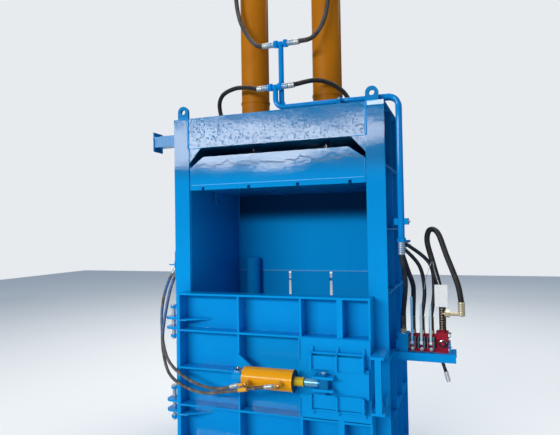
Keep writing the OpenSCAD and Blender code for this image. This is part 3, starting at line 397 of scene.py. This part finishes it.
def paint_the_solids():
    finish_of = {name: finish for finish, names in WORN_BY.items() for name in names}
    for name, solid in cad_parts.items():
        solid.data.materials.clear()
        solid.data.materials.append(finish_of.get(name, blue))


paint_the_solids()

# Camera, fitted to the photograph's edges: the lens in pixels of a picture 560 wide, the place in metres
# and the turns in radians
SENSOR_WIDTH = 36
PICTURE_WIDTH = 560
LENS_IN_PIXELS = 509.97
CAMERA_PLACE = (1.1479, -3.0289 + FRONT, 1.543)
CAMERA_YAW, CAMERA_PITCH, CAMERA_ROLL = 0.348, 0.0253, 0.0169


def place_camera():
    data = bpy.data.cameras.new("camera")
    data.sensor_width = SENSOR_WIDTH
    data.lens = SENSOR_WIDTH * LENS_IN_PIXELS / PICTURE_WIDTH
    data.clip_end = 60
    camera = bpy.data.objects.new("camera", data)
    scene.collection.objects.link(camera)
    turn = (Matrix.Rotation(CAMERA_YAW, 3, "Z") @ Matrix.Rotation(CAMERA_PITCH, 3, "X")
            @ Matrix.Rotation(CAMERA_ROLL, 3, "Y"))
    right, ahead, up = turn.col
    turn = Matrix((right, up, -ahead)).transposed().to_4x4()
    camera.matrix_world = Matrix.Translation(CAMERA_PLACE) @ turn
    scene.camera = camera


place_camera()

# Shape helpers


def new_mesh(name, bm, finish, smooth=True):
    """Turns a bmesh into an object at the origin."""
    bmesh.ops.recalc_face_normals(bm, faces=bm.faces)
    mesh = bpy.data.meshes.new(name)
    bm.to_mesh(mesh)
    bm.free()
    for face in mesh.polygons:
        face.use_smooth = smooth
    mesh.materials.append(finish)
    piece = bpy.data.objects.new(name, mesh)
    scene.collection.objects.link(piece)
    return piece


def fitted(name, bm, finish, body, smooth=True):
    """Turns a bmesh into a piece that rides on a body."""
    piece = new_mesh(name, bm, finish, smooth)
    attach(piece, body)
    return piece


def each_once(elements):
    """A list of a mesh's elements without repeats, in the order given, so that each run is the same."""
    return list(dict.fromkeys(elements))


def facing(ahead, side=None):
    """The turn that stands a shape's own Z axis along ahead."""
    if side is None:
        side = ahead.orthogonal().normalized()
    return Matrix((side, ahead.cross(side), ahead)).transposed().to_4x4()


def smooth_path(points, steps=8):
    """A curve through the route's points, as many short straight stretches."""
    path = []
    for i in range(len(points) - 1):
        before = points[max(i - 1, 0)]
        a, b = points[i], points[i + 1]
        after = points[min(i + 2, len(points) - 1)]
        for k in range(steps):
            t = k / steps
            path.append(0.5 * (2 * a + (b - before) * t + (2 * before - 5 * a + 4 * b - after) * t * t
                               + (3 * a - before - 3 * b + after) * t ** 3))
    return path + [points[-1]]


def sweep(bm, path, radii, sides):
    """Sweeps a ring along a path, turning it as little as it can, and closes both ends."""
    def axis(i):
        return (path[min(i + 1, len(path) - 1)] - path[max(i - 1, 0)]).normalized()

    side = axis(0).orthogonal().normalized()
    rings = []
    for i, (point, radius) in enumerate(zip(path, radii)):
        ahead = axis(i)
        side = (side - ahead * side.dot(ahead)).normalized()
        made = bmesh.ops.create_circle(bm, cap_ends=False, radius=radius, segments=sides,
                                       matrix=Matrix.Translation(point) @ facing(ahead, side))
        rings.append(made["verts"])
    for a, b in zip(rings, rings[1:]):
        edges = each_once(e for ring in (a, b) for v in ring for e in v.link_edges if e.other_vert(v) in ring)
        bmesh.ops.bridge_loops(bm, edges=edges)
    for ring in (rings[0], rings[-1]):
        bmesh.ops.contextual_create(bm, geom=ring)


def turned(name, place, ahead, profile, finish, body, sides=28, smooth=True):
    """A turned piece: pairs of distance along its axis and radius in millimetres, spun round the axis."""
    bm = bmesh.new()
    corners = [bm.verts.new((radius / 1000, 0, along / 1000)) for along, radius in profile]
    edges = [bm.edges.new(pair) for pair in zip(corners, corners[1:])]
    bmesh.ops.spin(bm, geom=corners + edges, cent=(0, 0, 0), axis=(0, 0, 1), angle=2 * math.pi,
                   steps=sides, use_merge=True)
    bmesh.ops.remove_doubles(bm, verts=bm.verts, dist=POINT_GAP)
    for end in (profile[0][0], profile[-1][0]):
        rim = [v for v in bm.verts if abs(v.co.z - end / 1000) < POINT_GAP and len(v.link_faces) < 4]
        if len(rim) > 2:
            bmesh.ops.contextual_create(bm, geom=rim)
    turn = facing(Vector(ahead).normalized())
    bmesh.ops.transform(bm, matrix=Matrix.Translation(place) @ turn, verts=bm.verts)
    return fitted(name, bm, finish, body, smooth)


def washer(thick, radius, edge=2, lip=0.5):
    """Profile of a flat ring with softened rims."""
    return [(0, radius - edge), (lip, radius), (thick - lip, radius), (thick, radius - edge)]


def ribbed(length, radius, ribs):
    """Profile of a crimped sleeve with grooves round it."""
    profile = [(0, radius * 0.8), (1, radius)]
    for k in range(ribs):
        a = length * (k + 1) / (ribs + 1)
        profile += [(a - 2.2, radius), (a - 1.4, radius * 0.9), (a + 1.4, radius * 0.9), (a + 2.2, radius)]
    return profile + [(length - 1, radius), (length, radius * 0.85)]


def ferrule(name, path, body, length, radius, tail=0):
    """A crimped ferrule on the start of a hose, with a plain collar before its grooves."""
    grooves = []
    for k in range(4):
        a = length * (0.3 + 0.17 * k)
        grooves += [(a, radius), (a + 2, radius * 0.93), (a + 5, radius * 0.93), (a + 7, radius)]
    neck, collar = radius * 0.72, radius * 0.96
    profile = [(-tail, neck), (0, neck), (1, collar), (length * 0.24, collar), *grooves,
               (length - 2, radius), (length, radius * 0.9)]
    turned(name, path[0], path[1] - path[0], profile, zinc, body, sides=24)


def box_into(bm, low, high, edge=0.0015):
    """Adds a box between two corners, with softened edges, in metres."""
    made = bmesh.ops.create_cube(bm, size=1.0)["verts"]
    size = high - low
    for v in made:
        v.co = (low + high) / 2 + Vector(v.co[i] * size[i] for i in range(3))
    edges = each_once(e for v in made for e in v.link_edges)
    bmesh.ops.bevel(bm, geom=edges, offset=min(edge, 0.3 * min(size)), offset_type="OFFSET", segments=2,
                    profile=0.5, affect="EDGES", material=-1)


def boxes(name, corners, finish, body, edge=1.5):
    """Several boxes as one piece: pairs of opposite corners in millimetres."""
    bm = bmesh.new()
    for low, high in corners:
        box_into(bm, at(*low), at(*high), edge / 1000)
    return fitted(name, bm, finish, body, smooth=False)


def bolts(name, places, ahead, finish, body, across, height, stud=0):
    """Hex nuts or heads with chamfered tops, in millimetres, each with its stud's end when it has one."""
    ahead = Vector(ahead).normalized()
    across, height, reach = across / 1000, height / 1000, (height + stud) / 1000
    bm = bmesh.new()
    for place in places:
        corner = across / math.sqrt(3)
        made = bmesh.ops.create_cone(
            bm, cap_ends=True, segments=6, radius1=corner, radius2=corner, depth=height,
            matrix=Matrix.Translation(at(*place) + ahead * height / 2) @ facing(ahead))
        top = [f for v in made["verts"] for f in v.link_faces if f.normal.dot(ahead) > 0.9]
        edges = each_once(e for f in top for e in f.edges)
        bmesh.ops.bevel(bm, geom=edges, offset=across * 0.09, offset_type="OFFSET", segments=2,
                        profile=0.5, affect="EDGES", material=-1)
        if stud:
            bmesh.ops.create_cone(
                bm, cap_ends=True, segments=20, radius1=across * 0.3, radius2=across * 0.26, depth=reach,
                matrix=Matrix.Translation(at(*place) + ahead * reach / 2) @ facing(ahead))
    return fitted(name, bm, finish, body, smooth=False)


def beads(name, lines, finish, body, width, pitch):
    """Weld beads along straight lines, thick and thin by turns, in millimetres."""
    bm = bmesh.new()
    for n, (start, end) in enumerate(lines):
        a, b = at(*start), at(*end)
        count = max(3, round((b - a).length * 1000 / pitch))
        path = [a.lerp(b, k / count) for k in range(count + 1)]
        radii = [width / 2000 * (1 + 0.10 * math.sin(2.6 * k + n) + 0.07 * math.sin(0.7 * k + 3 * n))
                 for k in range(count + 1)]
        radii[0] = radii[-1] = width * 0.3 / 1000
        sweep(bm, path, radii, sides=8)
    return fitted(name, bm, finish, body)


# Hoses and wires, each a list of points in millimetres.
# From a tee to a main cylinder's cap end
HIGH_LEFT = [(-48.3, 102, 2768), (-85, 104, 2770), (-165, 165, 2810), (-255, 225, 2915), (-325, 248, 3060),
             (-348, 250, 3250), (-315, 230, 3410), (-270, 240, 3455), (-270, 278.2, 3455)]
HIGH_RIGHT = [(124.3, 102, 2768), (160, 104, 2770), (230, 180, 2812), (290, 232, 2920), (322, 250, 3060),
              (335, 250, 3250), (315, 230, 3410), (270, 240, 3455), (270, 278.2, 3455)]
# From a tee to a main cylinder's rod end
LOW_LEFT = [(-76.3, 62, 2475), (-120, 75, 2480), (-240, 165, 2526), (-360, 225, 2546), (-480, 285, 2525),
            (-528, 330, 2450), (-505, 375, 2310), (-440, 400, 2256), (-391.8, 400, 2256)]
LOW_RIGHT = [(96.3, 62, 2475), (140, 75, 2482), (240, 190, 2528), (330, 265, 2516), (410, 320, 2455),
             (455, 360, 2350), (460, 392, 2270), (432, 400, 2256), (391.8, 400, 2256)]
# The valve's own
PUMP = [(1003, 275, 1062), (985, 282, 1190), (950, 305, 1330), (918, 335, 1460), (935, 340, 1530),
        (985, 315, 1510), (1035, 285, 1370), (1095, 268, 1200), (1114, 268, 1090)]
END_PORT = [(789, 62, 1386.7), (797, 80, 1300), (800, 130, 1210), (785, 215, 1115), (768, 255, 1001.3)]
FIRST_SECTION = [(789, 102, 1386.7), (813, 150, 1290), (833, 228, 1200), (831, 292, 1130), (825, 290, 991.3)]
SECTION_LEFT = [(749, 337.7, 1416), (785, 314, 1404), (872, 300, 1300), (898, 295, 1150), (880, 290, 991.3)]
SECTION_RIGHT = [(749, 377.7, 1446), (793, 352, 1436), (930, 325, 1320), (955, 302, 1160), (935, 290, 991.3)]
TIP = [(994, 300, 773.7), (994, 300, 722), (1013, 300, 655)]
# The wires that the card hangs from
WIRE_RIGHT = [(990, 223.5, 1196.3), (968, 250, 1265), (953, 286.8, 1333)]
WIRE_LEFT = [(944, 286.8, 1330), (912, 279, 1240), (897, 281.8, 1160)]
# From the bulkhead on the left wall to the lock cylinder on the door
LOCK_HIGH = [(-800, 150, 1290), (-840, 122, 1210), (-864, 90, 1100), (-862, 55, 980), (-842, 25, 865),
             (-800, -30, 740), (-700, -120, 625), (-570, -170, 568), (-400, -215, 550), (-220, -255, 585),
             (-60, -285, 625), (95, -291, 655)]
LOCK_LOW = [(-765, 130, 1290), (-805, 118, 1204), (-826, 86, 1087), (-830, 20, 870), (-795, -30, 780),
            (-700, -112, 692), (-570, -165, 628), (-420, -205, 592), (-280, -250, 595), (-130, -286, 640)]
# Where the lock's hoses leave the frame and where they join the door
LOCK_HOSE_LEAVES = (-845, 60, 1000)
LOCK_HOSE_JOINS = (-560, -160, 600)

# The taped stretch of the high lock hose, in metres
TAPE_LEFT, TAPE_RIGHT, TAPE_TOP = -0.138, -0.066, 0.64


def route(points):
    return [at(*p) for p in points]


def hose(name, points, diameter, finish, replaced, swings=False):
    """A hose on the frame, or one baked where it lies and tied to no body, in place of a node of the solids.
    """
    path = smooth_path(route(points))
    bm = bmesh.new()
    sweep(bm, path, [diameter / 2000] * len(path), sides=14)
    piece = new_mesh(name, bm, finish)
    if swings:
        at(*LOCK_HOSE_LEAVES)
        at(*LOCK_HOSE_JOINS)
        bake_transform(piece)
    else:
        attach(piece, "frame")
    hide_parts(replaced)
    length = sum((b - a).length for a, b in zip(path, path[1:]))
    return path


def dress_the_main_hoses():
    for name, points, finish in (("main_hose_high_left", HIGH_LEFT, worn_rubber),
                                 ("main_hose_high_right", HIGH_RIGHT, worn_rubber),
                                 ("main_hose_low_left", LOW_LEFT, black_rubber),
                                 ("main_hose_low_right", LOW_RIGHT, black_rubber)):
        path = hose(name, points, MAIN_HOSE, finish, "main_hoses")
        ferrule(name + "_near_ferrule", path, "frame", length=42, radius=19.5)
        ferrule(name + "_far_ferrule", path[::-1], "frame", length=42, radius=19.5)


def dress_the_valve_hoses():
    hose("pump_hose_loop", PUMP, PUMP_HOSE, black_rubber, "pump_hose")
    for name, points, diameter in (("valve_hose_end", END_PORT, MAIN_HOSE),
                                   ("valve_hose_first", FIRST_SECTION, MAIN_HOSE),
                                   ("valve_hose_left", SECTION_LEFT, SECTION_HOSE),
                                   ("valve_hose_right", SECTION_RIGHT, SECTION_HOSE),
                                   ("shelf_hose_tip", TIP, SHELF_HOSE)):
        hose(name, points, diameter, navy_rubber, "valve_hoses")
    for name, points in (("card_wire_right", WIRE_RIGHT), ("card_wire_left", WIRE_LEFT)):
        hose(name, points, WIRE, zinc, "card_wires")


def dress_the_lock_hoses():
    for name, points in (("lock_hose_high", LOCK_HIGH), ("lock_hose_low", LOCK_LOW)):
        path = hose(name, points, LOCK_HOSE, grey_rubber, "lock_hoses", swings=True)
        ferrule(name + "_wall_ferrule", path, "frame", length=50, radius=13.5)
        ferrule(name + "_door_ferrule", path[::-1], "door", length=55, radius=13.5, tail=12)


def weld_the_body():
    head = [((s * (CHAMBER_HALF + 4), 1, HEAD_BOTTOM), (s * (CHAMBER_HALF + 4), 1, BODY_TOP - 1))
            for s in SIDES]
    beads("head_welds", head, weld_blue, "frame", width=16, pitch=9)
    seam = [((3 - CHAMBER_HALF, 800, 1225), (CHAMBER_HALF - 3, 800, 1225))]
    beads("seam_weld", seam, seam_blue, "frame", width=12, pitch=8)
    columns = [((s * (CHAMBER_HALF + 1), 19, 1150), (s * (CHAMBER_HALF + 1), 19, 2000)) for s in SIDES]
    beads("column_welds", columns, weld_blue, "frame", width=8, pitch=12)
    corners = [((s * CHAMBER_HALF, 799, 1160), (s * CHAMBER_HALF, 799, 2100)) for s in SIDES]
    beads("corner_welds", corners, weld_blue, "frame", width=12, pitch=10)


def weld_the_gussets():
    """Along the two edges of each corner gusset that meet the column and the head beam."""
    upright = [((s * CHAMBER_HALF, 3, HEAD_BOTTOM - 100), (s * CHAMBER_HALF, 3, HEAD_BOTTOM)) for s in SIDES]
    level = [((s * CHAMBER_HALF, 3, HEAD_BOTTOM), (s * (CHAMBER_HALF - 90), 3, HEAD_BOTTOM)) for s in SIDES]
    beads("gusset_welds", upright + level, weld_blue, "frame", width=7, pitch=7)


def weld_the_lugs():
    """Along the foot of each front lug, before it and behind it."""
    lines = []
    for y in (0, 20):
        for s in SIDES:
            middle = s * COLUMN_MIDDLE
            lines.append(((middle - 38, y, BODY_TOP), (middle + 38, y, BODY_TOP)))
    beads("lug_welds", lines, weld_blue, "frame", width=9, pitch=6)


def weld_the_wall_rails():
    """Stitches over the level rails of both side walls, bay by bay."""
    lines = []
    for row in range(1, 6):
        z = row * RIB_ROW + 7
        for low, high in ((22, 298), (314, 606), (622, 906)):
            for s in SIDES:
                x = s * (CHAMBER_HALF + 13)
                lines += [((x, y, z), (x, y + 46, z)) for y in range(low, high - 46, 110)]
    beads("rail_welds", lines, weld_blue, "frame", width=7, pitch=8)


def weld_the_platen():
    beads("platen_welds", [((-588, 8, 1857), (588, 8, 1857))], seam_blue, "platen", width=6, pitch=8)
    ends = [((s * 594, 9, 1826), (s * 594, 9, 1968)) for s in SIDES]
    beads("platen_end_welds", ends, weld_blue, "platen", width=6, pitch=8)


def weld_the_door():
    """Stitches along the door's uprights and levels, and lines over their front edges and on the ears."""
    levels = [(low + DOOR_RIB_HALF, high - DOOR_RIB_HALF) for low, high in zip(DOOR_LEVELS, DOOR_LEVELS[1:])]
    uprights = [x for bay in DOOR_BAYS for x in bay][1:-1]
    bottom, low_rib, _, high_rib, top = DOOR_LEVELS
    lines = []
    for x in uprights:
        for low, high in levels:
            for z in range(low + 8, high - 60, 96):
                lines.append(((x, DOOR_FACE, z), (x, DOOR_FACE, z + 54)))
    ledges = [z + s * DOOR_RIB_HALF for z in (low_rib, high_rib) for s in SIDES]
    for z in (*ledges, top - DOOR_RIB_HALF, bottom + DOOR_RIB_HALF):
        for low, high in DOOR_BAYS:
            for x in range(low + 8, high - 58, 104):
                lines.append(((x, DOOR_FACE, z), (x + 52, DOOR_FACE, z)))
    beads("door_welds", lines, weld_blue, "door", width=7, pitch=9)
    edge = [((x, -117, z), (x, -117, z + 26)) for x in (-205, 214) for z in (425, 893)]
    beads("door_edge_welds", edge, weld_blue, "door", width=6, pitch=6)
    ears = [((-634, -118, z), (-560, -118, z)) for z in (360, 425, 905, 970)]
    beads("ear_welds", ears, weld_blue, "door", width=8, pitch=6)


def dress_the_lock_cylinder():
    gland = [(0, 25), (1, 26.6), (12, 26.6), (15, 25), (15.5, 23)]
    turned("gland_ring", at(236, LOCK_Y, LOCK_Z), (1, 0, 0), gland, lime, "door", sides=40)
    wiper = [(0, 22.8), (0.5, 25), (4, 25), (5, 23.2)]
    turned("rod_wiper", at(252, LOCK_Y, LOCK_Z), (1, 0, 0), wiper, dark_steel, "door", sides=40)
    bolts("pin_nuts", [(368, LOCK_Y - 4, LOCK_Z + 58)], (0, 0, 1), zinc, "lock", across=22, height=7)
    bolts("tail_bolt_nut", [(LOCK_TAIL_X, LOCK_Y, LOCK_Z + 40.5)], (0, 0, 1), chrome, "door",
          across=34, height=12, stud=7)
    turned("tail_washer", at(LOCK_TAIL_X, LOCK_Y, LOCK_Z + 28.4), (0, 0, 1), washer(3, 26, lip=0.4), zinc,
           "door", sides=32)
    port_bolt = [(-2, 13), (0, 15), (9, 15), (11, 12.5), (13, 6)]
    for name, x, y, z in (("low", -70, -312, 655), ("high", 131, -305, 661)):
        turned(f"lock_port_bolt_{name}", at(x, y, z), (0, -1, 0), port_bolt, old_brass, "door",
               sides=6, smooth=False)
        turned(f"lock_port_ring_{name}", at(x, y + 20, z), (0, 1, 0), washer(5.5, 19), old_brass, "door",
               sides=32)


def weld_the_lock():
    hooks = []
    for s in SIDES:
        for x in RETAINER_XS:
            for edge, y, low, high in ((-1, -171, 86, 148), (13, -171, 86, 148), (-1, -134, 170, 196)):
                near, far = sorted((LOCK_Z + s * low, LOCK_Z + s * high))
                hooks.append(((x + edge, y, near), (x + edge, y, far)))
    beads("keeper_welds", hooks, weld_blue, "door", width=7, pitch=6)
    plate = [((x, -141, low), (x, -141, high)) for x in (204, 626) for low, high in ((443, 560), (770, 905))]
    beads("lock_plate_welds", plate, weld_blue, "door", width=5, pitch=9)
    fork = []
    for edge in (-8, 8):
        for s in SIDES:
            z = LOCK_Z + s * 35 + edge
            fork.append(((389, -157.5, z), (427, -157.5, z)))
    beads("fork_welds", fork, weld_blue, "lock", width=6, pitch=6)


def weld_the_strike():
    lines = []
    for top in (834.5, 527.5):
        lines += [((640, -0.5, z), (709, -0.5, z)) for z in (top, top - 14)]
        lines.append(((660, -182, top - 7), (695, -182, top - 7)))
    beads("strike_welds", lines, weld_blue, "frame", width=9, pitch=6)


def dress_the_pipes():
    for i, (x, y, z) in enumerate((LOW_TEE, HIGH_TEE)):
        for s in SIDES:
            turned(f"tee_sleeve_{i}_{s + 1}", at(x + s * 47, y, z), (s, 0, 0), ribbed(39, 18.6, 3), zinc,
                   "frame")
            bolts(f"tee_nut_{i}_{s + 1}", [(x + s * 22, y, z)], (s, 0, 0), pipe_blue, "frame",
                  across=47, height=24)
    bolts("top_clamp_bolts", [(440, 10, 2338.5)], (0, 0, 1), zinc, "frame", across=16, height=8)
    strap = [((434, 30, 2355.5), (446, 134, 2359.5)), ((434, 128, 2330), (446, 134, 2356)),
             ((434, 30, 2330), (446, 36, 2356))]
    boxes("top_clamp_strap", strap, pipe_blue, "frame")
    bolts("side_clamp_bolts", [(830.5, 82, 1584)], (1, 0, 0), zinc, "frame", across=17, height=9, stud=4)
    for y in PIPES_Y:
        turned(f"pipe_sleeve_{y}", at(PIPES_X, y, 1387.2), (0, 0, 1), ribbed(74, 17.4, 5), zinc, "frame")
        bolts(f"pipe_nut_{y}", [(PIPES_X, y, 1461)], (0, 0, 1), pipe_blue, "frame", across=41, height=26)


def dress_the_levers():
    brackets = []
    for x in SECTION_XS:
        for s in SIDES:
            near, far = sorted((x + s * 16, x + s * 20))
            brackets.append(((near, 186, 812), (far, 243, 874)))
        brackets.append(((x - 19, 236, 812), (x + 19, 242.5, 874)))
    boxes("lever_clevises", brackets, clevis_teal, "frame")
    pins = [(x + 20, LEVER_Y, LEVER_Z) for x in SECTION_XS]
    bolts("lever_pin_nuts", pins, (1, 0, 0), dark_steel, "frame", across=16, height=6)


def dress_the_valve():
    cap = [(0, 10), (0.5, 12), (16, 12), (18, 9)]
    for i, x in enumerate(SECTION_XS):
        turned(f"section_sleeve_{i}", at(x, SECTION_PORT_Y, 908), (0, 0, 1), ribbed(82, 15.4, 5), brown_steel,
               "frame")
        turned(f"section_cap_{i}", at(x, 242.5, 801), (0, -1, 0), cap, zinc, "frame")
    turned("end_port_sleeve", at(768, 255, 916), (0, 0, 1), ribbed(84, 16.4, 5), brown_steel, "frame")
    ring = [(-2, 20), (0, 24), (7, 24), (9, 21), (9.5, 15)]
    turned("inlet_ring", at(INLET_X, 225, 840), (0, -1, 0), ring, chrome, "frame", sides=40)
    plug = [(0, 13), (6, 13), (8, 10)]
    turned("inlet_plug", at(INLET_X, 216, 840), (0, -1, 0), plug, red, "frame", sides=6, smooth=False)
    turned("pump_sleeve", at(INLET_X, 275, 912), (0, 0, 1), ribbed(150, 20.8, 9), brown_steel, "frame")
    turned("elbow_sleeve", at(1114, 268, 1006), (0, 0, 1), ribbed(82, 20.6, 5), brass, "frame")
    turned("tip_sleeve", at(1013.5, 300, 654), (0.27, 0, -0.96), ribbed(60, 13.2, 4), pale_zinc, "frame")
    ties = [(1035.5, y, z) for y in (245, 325) for z in (800, 885)]
    bolts("tie_bolts", ties, (1, 0, 0), zinc, "frame", across=20, height=11, stud=5)


def tape_the_high_hose():
    """Tape round the high hose where it passes under the lock cylinder."""
    path = [p for p in smooth_path(route(LOCK_HIGH), 16) if TAPE_LEFT < p.x < TAPE_RIGHT and p.z < TAPE_TOP]
    bm = bmesh.new()
    sweep(bm, path, [0.0135 + 0.001 * math.sin(2.1 * k) for k in range(len(path))], sides=16)
    fitted("tape_on_high_hose", bm, tape, "door")


# A thin pale strip on the right column's top front: a painted highlight where the light catches it
def paint_the_column_top_highlight():
    boxes("column_top_painted_highlight_strip", [((613, -2.5, 2282), (713, -0.1, 2309))], highlight_strip_white, "frame", edge=0.8)


dress_the_main_hoses()
dress_the_valve_hoses()
dress_the_lock_hoses()
weld_the_body()
weld_the_gussets()
weld_the_lugs()
weld_the_wall_rails()
weld_the_platen()
weld_the_door()
dress_the_lock_cylinder()
weld_the_lock()
weld_the_strike()
dress_the_pipes()
dress_the_levers()
dress_the_valve()
tape_the_high_hose()
paint_the_column_top_highlight()

# Lamps: name, place, aim, width and height in metres, watts, colour
LAMPS = (
    ("doorway_light", (-2.85, FRONT - 7.5, 3.48), (-0.35, FRONT, 1.9), 5.6, 1.0, 540, (1.0, 0.97, 0.89)),
    ("roof_light", (0, 2.6, 7.2), (0, 2.4, 0), 7.0, 6.0, 420, (1.0, 0.98, 0.94)),
    ("side_light", (7.4, -1.0, 2.6), (0.7, 0, 1.2), 3.5, 3.5, 34, (0.85, 0.93, 1.0)),
)

# Dark cloths round the studio: name, centre and size in metres
FLAGS = (
    ("front_flag", (0, FRONT - 9.2, 3.4), (19, 0.02, 8.6)),
    ("right_flag", (9.4, -0.2, 3.4), (0.02, 18, 8.6)),
    ("left_flag", (-9.4, -1.2, 3.4), (0.02, 16, 8.6)),
    ("top_flag", (0, -1.2, 7.8), (19, 16, 0.02)),
    ("floor_flag", (0, -0.1, -0.012), (19, 18.2, 0.02)),
    ("rear_flag", (8.5, 9.0, 3.4), (23, 0.02, 8.6)),
    ("lamp_flag", (-1.0, FRONT - 7.0, 2.87), (2.8, 0.02, 0.6)),
)
LAMP_FLAG_SLOPE = 0.22
BACKDROP = (0.80, 0.83, 0.86)
ROOM_COLOUR, ROOM_LEVEL = (0.56, 0.74, 1.0), 0.44


def hang_the_lamps():
    for name, place, aim, width, height, watts, colour in LAMPS:
        data = bpy.data.lights.new(name, "AREA")
        data.shape = "RECTANGLE"
        data.size, data.size_y = width, height
        data.energy = watts
        data.color = colour
        lamp = bpy.data.objects.new(name, data)
        scene.collection.objects.link(lamp)
        lamp.location = place
        lamp.rotation_euler = (Vector(aim) - Vector(place)).to_track_quat("-Z", "Y").to_euler()


def light_the_room():
    """A dim bluish world that lights the machine, and a pale one that the camera and gloss paint meet."""
    world = bpy.data.worlds.new("room")
    scene.world = world
    world.use_nodes = True
    tree = world.node_tree
    tree.nodes.clear()
    output = tree.nodes.new("ShaderNodeOutputWorld")
    mixer = tree.nodes.new("ShaderNodeMixShader")
    seen = tree.nodes.new("ShaderNodeBackground")
    seen.inputs["Color"].default_value = (*BACKDROP, 1)
    room = tree.nodes.new("ShaderNodeBackground")
    room.inputs["Color"].default_value = (*ROOM_COLOUR, 1)
    room.inputs["Strength"].default_value = ROOM_LEVEL
    rays = tree.nodes.new("ShaderNodeLightPath")
    camera, glossy, clear = (Value(tree, rays.outputs[f"Is {kind} Ray"])
                             for kind in ("Camera", "Glossy", "Transmission"))
    feed(tree, mixer.inputs[0], (camera + glossy + clear).clamped())
    tree.links.new(room.outputs[0], mixer.inputs[1])
    tree.links.new(seen.outputs[0], mixer.inputs[2])
    tree.links.new(mixer.outputs[0], output.inputs[0])


def hang_the_flags():
    """Cloths that only the gloss paint mirrors. The lamp flag trims the doorway light's mirror image."""
    f = Finish("dark_cloth")
    cloth = f.set(Base_Color=(0.05, 0.055, 0.06), Roughness=0.9, Specular_IOR_Level=0.0)
    for name, centre, size in FLAGS:
        middle, half = Vector(centre), Vector(size) / 2
        bm = bmesh.new()
        box_into(bm, middle - half, middle + half)
        if name == "lamp_flag":
            for v in bm.verts:
                v.co.z += (v.co.x - middle.x) * LAMP_FLAG_SLOPE
        flag = new_mesh(name, bm, cloth, smooth=False)
        flag.visible_camera = flag.visible_diffuse = flag.visible_shadow = False
        flag.visible_transmission = flag.visible_volume_scatter = False


def lay_the_floor():
    f = Finish("pale_floor")
    finish = f.set(Base_Color=f.mix(f.noise(6, 5, 0.6) * 0.3, (0.90, 0.89, 0.86), (0.84, 0.83, 0.80)),
                   Roughness=0.8, Specular_IOR_Level=0.2)
    bm = bmesh.new()
    bmesh.ops.create_grid(bm, x_segments=1, y_segments=1, size=14, matrix=Matrix.Translation((0, 0, -0.001)))
    floor = new_mesh("floor", bm, finish, smooth=False)
    floor.visible_glossy = False


hang_the_lamps()
light_the_room()
hang_the_flags()
lay_the_floor()

scene.view_settings.view_transform = "Standard"
